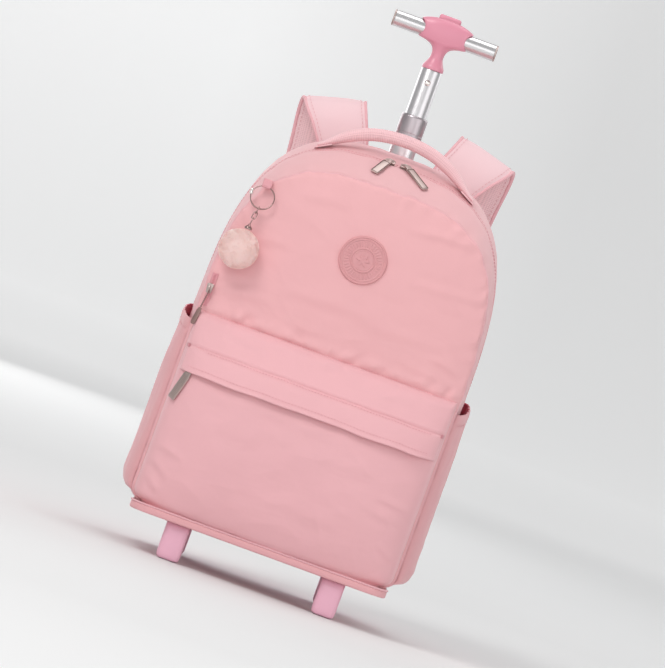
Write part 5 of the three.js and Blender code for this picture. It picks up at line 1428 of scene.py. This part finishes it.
def mast():
    acc = Acc()
    lathe(acc, [(12.7, 58), (14.0, 58), (14.0, 497.4), (12.7, 497.7)], (0, MAST_Y, 0), seg=96)
    acc.build("mast_outer_tube", [MAT["tube"]], replaces=["mast_outer"], angle=35)
    acc = Acc()
    rows = [(12.1, 498), (14.2, 498), (14.6, 498.5), (14.6, 505.6), (14.3, 506), (14.3, 506.8), (14.6, 507.2), (14.6, 523.6), (14.35, 524.9), (13.5, 525.9), (12.5, 526.2), (12.1, 525.8)]
    lathe(acc, rows, (0, MAST_Y, 0), seg=96)
    acc.build("mast_collar_tube", [MAT["collar"]], replaces=["mast_collar"], angle=35)
    acc = Acc()
    lathe(acc, [(10.1, 176), (11.5, 176.4), (11.5, 577.3), (11.2, 578), (10.1, 578)], (0, MAST_Y, 0), seg=96)
    # a ground ring round the button hole
    t = np.linspace(0, 2 * np.pi, 40, endpoint=False)
    x, z = 2.95 * np.cos(t), 563.5 + 2.95 * np.sin(t)
    tube(acc, np.stack([x, MAST_Y - np.sqrt(11.5**2 - x**2), z], 1), 0.28, 8, True, mat=1, up=(0, 1, 0))
    acc.build("mast_inner_tube", [MAT["tube"], MAT["wire"]], body="handle", replaces=["mast_inner"], angle=35)
    acc = Acc()
    rows = [(0, -2.0), (2.5, -2.0), (2.5, -0.2)] + [(2.5 * math.cos(a), -0.2 + 0.68 * math.sin(a)) for a in np.linspace(0.15, 1.5, 8)] + [(0, 0.49)]
    lathe(acc, [(r, -h) for r, h in rows], (0, MAST_Y - 11.5, 563.5), axis="y", seg=40)
    acc.build("mast_detent_button", [MAT["silver"]], body="handle", replaces=["mast_detent"], angle=50)


GRIP = [(578.4, 11.9, 11.9), (582, 11.6, 11.6), (586.5, 9.3, 9.3), (591.5, 7.3, 7.6), (596.5, 7.1, 7.6), (601, 8.4, 8.6), (604.5, 11.5, 9.8), (607, 18, 10.8), (609, 27, 11.4), (613, 31, 12),
        (618, 32, 12.4), (623, 31.5, 12.2), (627.5, 30, 11.4), (630.5, 25, 10.2), (633, 17, 8.4), (634.4, 9, 5.2)]


def boolean(ob, cutter, op="DIFFERENCE"):
    md = ob.modifiers.new("cut", "BOOLEAN")
    md.operation = op
    md.solver = "EXACT"
    md.object = cutter
    bpy.context.view_layer.update()
    dg = bpy.context.evaluated_depsgraph_get()
    me = bpy.data.meshes.new_from_object(ob.evaluated_get(dg))
    ob.modifiers.clear()
    if len(me.vertices) < len(ob.data.vertices) / 2:
        print("cut left out on", ob.name)
        bpy.data.meshes.remove(me)
        return
    old = ob.data
    ob.data = me
    bpy.data.meshes.remove(old)


def loose(name, acc):
    """A plain object from the collected pieces, attached to no body; grip() uses it for its core and for the cutters
    that it removes again.
    """
    me = bpy.data.meshes.new(name)
    me.from_pydata(metres(np.concatenate(acc.v)).tolist(), [], acc.f)
    bm = bmesh.new()
    bm.from_mesh(me)
    bmesh.ops.remove_doubles(bm, verts=bm.verts, dist=1e-6)
    bmesh.ops.recalc_face_normals(bm, faces=bm.faces)
    bm.to_mesh(me)
    bm.free()
    ob = bpy.data.objects.new(name, me)
    bpy.context.scene.collection.objects.link(ob)
    return ob


def grip():
    t = smooth_table(GRIP, 6)
    seg = 96
    a = np.linspace(0, 2 * np.pi, seg, endpoint=False)
    c, s = np.cos(a), np.sin(a)
    g = []
    for z, hx, hy in t:
        e = 1.0 if z < 598 else 1.0 - 0.15 * float(step(598, 606, z))
        x = hx * np.sign(c) * np.abs(c) ** e
        if abs(z - 618) < 10.9:
            # a round scoop on each side lets the bar stand free
            lim = 33.8 - math.sqrt(10.9**2 - (z - 618) ** 2)
            if lim < hx:
                over = np.clip(np.abs(x) - (lim - 0.8), 0, None)
                x = np.sign(x) * np.where(over > 0, lim - 0.8 + 0.8 * (1 - np.exp(-over / 0.8)), np.abs(x))
        g.append(np.stack([x, MAST_Y + hy * np.sign(s) * np.abs(s) ** e, np.full(seg, z)], 1))
    g = np.array(g)
    core = Acc()
    f, _ = quads(len(g), seg, False, True)
    core.add(g, f)
    for k, o in ((0, -1), (len(g) - 1, 1)):
        core.add(np.concatenate([g[k], [[0, MAST_Y, g[k][0, 2]]]]), [(i, (i + 1) % seg, seg)[::o] for i in range(seg)])
    ob = loose("grip_core_moulding", core)
    cut = Acc()
    lathe(cut, [(0, -60), (9.3, -60), (9.3, 60), (0, 60)], (0, MAST_Y, 618), axis="x", seg=80)
    k1 = loose("cut1", cut)
    boolean(ob, k1)
    cut = Acc()
    blocks(cut, (26.0, 10.0, 12), (0, MAST_Y, 635.2), bevel=2.6, segments=4)
    k3 = loose("cut3", cut)
    boolean(ob, k3)
    for k in (k1, k3):
        bpy.data.objects.remove(k)
    # keep only the piece that joins the neck
    bm = bmesh.new()
    bm.from_mesh(ob.data)
    left, seen = set(bm.verts), set()
    while left:
        first = next(iter(left))
        part, todo = {first}, [first]
        while todo:
            v = todo.pop()
            for e in v.link_edges:
                o = e.other_vert(v)
                if o not in part:
                    part.add(o)
                    todo.append(o)
        left -= part
        if len(part) > len(seen):
            seen = part
    bmesh.ops.delete(bm, geom=[v for v in bm.verts if v not in seen], context="VERTS")
    bmesh.ops.recalc_face_normals(bm, faces=bm.faces)
    bm.to_mesh(ob.data)
    bm.free()
    me = ob.data
    me.materials.clear()
    me.materials.append(MAT["grip"])
    me.polygons.foreach_set("use_smooth", [True] * len(me.polygons))
    me.set_sharp_from_angle(angle=math.radians(32))
    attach(ob, "handle")
    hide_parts("grip_core")
    acc = Acc()
    lathe(acc, [(0, -56.6), (8.6, -56.6), (9, -56.2), (9, 56.2), (8.6, 56.6), (0, 56.6)], (0, MAST_Y, 618), axis="x", seg=96)
    acc.build("grip_bar_tube", [MAT["bar"]], body="handle", replaces=["grip_bar"], angle=35)
    for side, m in (("left", -1), ("right", 1)):
        acc = Acc()
        rows = [(0, 56.8), (8.9, 56.8), (9.05, 57.2), (8.9, 58.0), (8.3, 58.5), (5.0, 58.6), (0, 58.6)]
        lathe(acc, [(r, m * h) for r, h in rows], (0, MAST_Y, 618), axis="x", seg=96)
        acc.build("grip_cap_%s_disc" % side, [MAT["pull"]], body="handle", replaces=["grip_cap_" + side], angle=35)
    acc = Acc()
    blocks(acc, (24.4, 8.4, 7.2), (0, MAST_Y, 635.0), bevel=2.4, segments=5)
    for k in range(-2, 3):
        tube(acc, [(k * 3.0, MAST_Y - 2.6, 638.55), (k * 3.0, MAST_Y + 2.6, 638.55)], 0.35, 8)
    acc.build("grip_button_cap", [MAT["grip"]], body="button", replaces=["grip_button"], angle=60)


# ------------------------------------------------------------------ wheels, feet, chassis
def wheels():
    wy, wr, hw, rim = 94.0, 38.0, 12.8, 25.0
    for side, m in (("left", -1), ("right", 1)):
        cx = 86.0 * m
        prof = [(rim, -hw + 1.0), (28, -hw + 0.3), (wr - 5.0, -hw), (wr - 2.6, -hw + 0.8), (wr - 1.1, -hw + 2.2), (wr - 0.3, -hw + 4.2), (wr, -hw + 6.2)]
        for c in (-4.2, 0.0, 4.2):
            prof += [(wr, c - 0.9), (wr - 1.1, c - 0.45), (wr - 1.1, c + 0.45), (wr, c + 0.9)]
        prof += [(wr, hw - 6.2), (wr - 0.3, hw - 4.2), (wr - 1.1, hw - 2.2), (wr - 2.6, hw - 0.8), (wr - 5.0, hw), (28, hw - 0.3), (rim, hw - 1.0)]
        acc = Acc()
        lathe(acc, prof, (cx, wy, wr), axis="x", seg=120)
        acc.build("tyre_%s_rubber" % side, [MAT["tyre"]], body="wheel_" + side, replaces=["tyre_" + side], angle=40)
        acc = Acc()
        r1 = rim - 0.3
        lathe(acc, [(r1, -hw + 1.4), (r1, hw - 1.4), (r1 - 0.8, hw - 0.9), (20.6, hw - 0.9), (20.0, hw - 1.6), (20.0, -hw + 1.6), (20.6, -hw + 0.9), (r1 - 0.8, -hw + 0.9)], (cx, wy, wr), axis="x", seg=96)
        lathe(acc, [(4.5, -hw + 0.4), (8.6, -hw + 0.4), (9.2, -hw + 1.0), (9.6, 0), (9.2, hw - 1.0), (8.6, hw - 0.4), (4.5, hw - 0.4)], (cx, wy, wr), axis="x", seg=64)
        lathe(acc, [(9.3, -1.6), (20.2, -1.6), (20.2, 1.6), (9.3, 1.6)], (cx, wy, wr), axis="x", seg=64)
        for k in range(6):
            a = k * math.pi / 3
            R = np.array([[1, 0, 0], [0, math.cos(a), -math.sin(a)], [0, math.sin(a), math.cos(a)]])
            blocks(acc, (2 * hw - 5.0, 4.2, 11.8), np.array([cx, wy, wr]) + R @ np.array([0, 0, 14.7]), R, bevel=1.0, segments=2)
        acc.build("hub_%s_moulding" % side, [MAT["hub"]], body="wheel_" + side, replaces=["hub_" + side], angle=40)
        # foot: a rounded post with a slightly crowned sole
        fx, fy, hx, hy = 86.0 * m, -66.0, 12.9, 13.0
        rows = [(0.0, 3.6), (0.5, 2.3), (1.4, 1.2), (2.8, 0.5), (5.5, 0.12), (9, 0), (20, 0), (30, 0), (38.6, 0)]
        n = 64
        a = np.linspace(0, 2 * np.pi, n, endpoint=False)
        sx, sy = np.sign(np.cos(a)) * np.abs(np.cos(a)) ** 0.42, np.sign(np.sin(a)) * np.abs(np.sin(a)) ** 0.42
        g = np.array([np.stack([fx + (hx - i) * sx, fy + (hy - i) * sy, np.full(n, z)], 1) for z, i in rows])
        acc = Acc()
        f, _ = quads(len(rows), n, False, True)
        acc.add(g, f)
        for k, o in ((0, -1), (len(rows) - 1, 1)):
            acc.add(np.concatenate([g[k], [[fx, fy, rows[k][0]]]]), [(i, (i + 1) % n, n)[::o] for i in range(n)])
        foot = acc.build("foot_%s_moulding" % side, [MAT["foot"]], replaces=["foot_" + side], angle=50)
        weld(foot)


def carried_over():
    def finish_node(name, mat, bevel=None, angle=35, segments=2):
        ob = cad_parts[name]
        ob.data.materials.clear()
        ob.data.materials.append(MAT[mat])
        for s in ob.material_slots:
            s.material = MAT[mat]
        if bevel:
            md = ob.modifiers.new("edge", "BEVEL")
            md.width = bevel
            md.segments = segments
            md.limit_method = "ANGLE"
            md.angle_limit = math.radians(angle)
            md.harden_normals = False
        return ob

    finish_node("chassis", "plastic", 0.0009)
    finish_node("axle", "bar", 0.0006)
    finish_node("ladder_lock_left", "plastic", 0.0006)
    finish_node("ladder_lock_right", "plastic", 0.0006)


# ------------------------------------------------------------------ stage, light, camera
def stage():
    m, nt, b = new_material("backdrop")
    N = Nodes(nt)
    tc = N.new("ShaderNodeTexCoord")
    sep = N.new("ShaderNodeSeparateXYZ")
    N.link(tc.outputs["Object"], sep.inputs[0])
    # The floor is a darker grey than the wall above it: painted shade that evens out the strong light falling on the
    # floor from above.
    up = N.math("MULTIPLY", sep.outputs[2], 1.4, clamp=True)
    n = N.noise(tc.outputs["Object"], 3, 2)
    base = N.mix(n, FLOOR_TONE, tuple(c * 0.985 for c in FLOOR_TONE))
    # The wall darkens towards +X: painted shade for a backdrop that falls off to the right.
    right = N.math("ADD", N.math("MULTIPLY", sep.outputs[0], 1.1), 0.5, clamp=True)
    wall = N.mix(right, BACKDROP, tuple(c * 0.72 for c in BACKDROP))
    N.link(N.mix(up, base, wall), b.inputs["Base Color"])
    b.inputs["Roughness"].default_value = 0.9
    b.inputs["Specular IOR Level"].default_value = 0.1
    # beyond the lamps' reach the sweep glows a little, so that it stays pale on every side
    far = N.math("POWER", N.math("ADD", N.math("POWER", sep.outputs[0], 2.0), N.math("POWER", sep.outputs[1], 2.0)), 0.5)
    far = N.math("MULTIPLY", N.math("SUBTRACT", far, 1.1), 0.27, clamp=True)
    # The glow is also weaker towards +X, in keeping with that painted shade.
    less = N.math("SUBTRACT", 1.0, N.math("MULTIPLY", right, 0.14))
    N.link(N.math("MULTIPLY", N.math("MULTIPLY", far, less), 0.365), b.inputs["Emission Strength"])
    b.inputs["Emission Color"].default_value = (1, 1, 1, 1)

    prof = [(-17.6, 7.0), (-17.6, 1.6)] + [(-16 - 1.6 * math.sin(a), 1.6 - 1.6 * math.cos(a)) for a in np.linspace(math.pi / 2, 0.1, 14)[1:]] + [(-16.0, 0.0), (8.2, 0.0)] + [(8.2 + 1.6 * math.sin(a), 1.6 - 1.6 * math.cos(a)) for a in np.linspace(0.1, math.pi / 2, 14)] + [(9.8, 8.0)]
    me = bpy.data.meshes.new("backdrop")
    v, f = [], []
    for y, z in prof:
        v += [(-16, y, z - 0.0006), (16, y, z - 0.0006)]
    for k in range(len(prof) - 1):
        f.append((2 * k, 2 * k + 1, 2 * k + 3, 2 * k + 2))
    me.from_pydata(v, [], f)
    me.materials.append(m)
    me.polygons.foreach_set("use_smooth", [True] * len(f))
    ob = bpy.data.objects.new("backdrop", me)
    bpy.context.scene.collection.objects.link(ob)


BACKDROP = (0.97, 0.97, 0.97)
FLOOR_TONE = (0.78, 0.78, 0.78)
LIGHTS = [
    # name, place, target, size x, size y, watts, colour
    ("key", (-1.5, -1.7, 2.5), (0, 0, 0.3), 1.3, 1.3, 41, (1, 0.99, 0.98)),
    ("fill", (2.2, -2.0, 1.1), (0, 0, 0.3), 2.2, 2.2, 17.5, (1, 0.98, 0.98)),
    ("front", (0.0, -3.4, 0.9), (0, 0, 0.3), 2.6, 1.6, 10.5, (1, 1, 1)),
    ("top", (0.2, 0.2, 2.8), (0, 0.0, 0.4), 1.6, 1.4, 15.5, (1, 1, 1)),
    ("rim", (1.6, 1.5, 1.7), (0, 0, 0.35), 1.2, 1.6, 9, (1, 1, 1)),
    ("back", (-1.3, 2.9, 1.1), (0, 0, 0.28), 2.2, 1.8, 17, (1, 1, 1)),
]


def lights():
    for name, at, to, sx, sy, watts, col in LIGHTS:
        d = bpy.data.lights.new(name, "AREA")
        d.shape = "RECTANGLE"
        d.size, d.size_y = sx, sy
        d.energy = watts
        d.color = col
        o = bpy.data.objects.new(name, d)
        o.location = at
        o.visible_camera = False
        o.rotation_euler = (Vector(to) - Vector(at)).to_track_quat("-Z", "Y").to_euler()
        bpy.context.scene.collection.objects.link(o)
    w = bpy.context.scene.world or bpy.data.worlds.new("world")
    bpy.context.scene.world = w
    w.use_nodes = True
    bg = w.node_tree.nodes.get("Background") or w.node_tree.nodes.new("ShaderNodeBackground")
    bg.inputs["Color"].default_value = (0.95, 0.96, 0.97, 1)
    bg.inputs["Strength"].default_value = WORLD
    bpy.context.scene.view_settings.view_transform = "Standard"
    bpy.context.scene.view_settings.look = "None"
    bpy.context.scene.view_settings.exposure = 0.0
    bpy.context.scene.view_settings.gamma = 1.0


WORLD = 0.38


def camera():
    cam = bpy.data.cameras.new("camera")
    ob = bpy.data.objects.new("camera", cam)
    bpy.context.scene.collection.objects.link(ob)
    el, roll, dist = math.radians(1.0), math.radians(20.0), 7.0
    target = Vector((-0.0037, -0.0264, 0.279))
    back = Vector((0, -math.cos(el), math.sin(el)))
    right, up = Vector((1, 0, 0)), Vector((0, math.sin(el), math.cos(el)))
    r2 = right * math.cos(roll) + up * math.sin(roll)
    u2 = up * math.cos(roll) - right * math.sin(roll)
    ob.matrix_world = Matrix.Translation(target + back * dist) @ Matrix((r2, u2, back)).transposed().to_4x4()
    cam.lens = 36.0 / 668 * dist * 1000 / 1.053
    cam.sensor_width = 36.0
    cam.clip_start, cam.clip_end = 0.05, 60
    bpy.context.scene.camera = ob


camera()
fur_material()
front_panel()
gusset("gusset_front_cloth", -51.7, -8.2, 30, 101, "gusset_front", False, True)
gusset("gusset_rear_cloth", -7.8, 88, 54, 111, "gusset_rear", True, False)
seam_pipe("front_seam_piping", -52.1, 0.0, 0.95)
seam_pipe("back_seam_piping", 88.3, 0.4, 1.6)
main_zip()
front_pocket()
pocket_flap()
base_board()
side_pocket(-1, "side_pocket_left_cloth", "side_pocket_left")
side_pocket(1, "side_pocket_right_cloth", "side_pocket_right")
grab_handle()
for sgn, side_name in ((-1, "left"), (1, "right")):
    strap(sgn, "strap_%s_cloth" % side_name, "strap_" + side_name)
    webbing(sgn, "strap_webbing_%s_tape" % side_name, "strap_webbing_" + side_name)
    back_pad(sgn, "back_pad_%s_cloth" % side_name, "back_pad_" + side_name)
back_panel()
mast_cover()
badge()
hardware()
key_ring()
mast()
grip()
wheels()
carried_over()
stage()
lights()
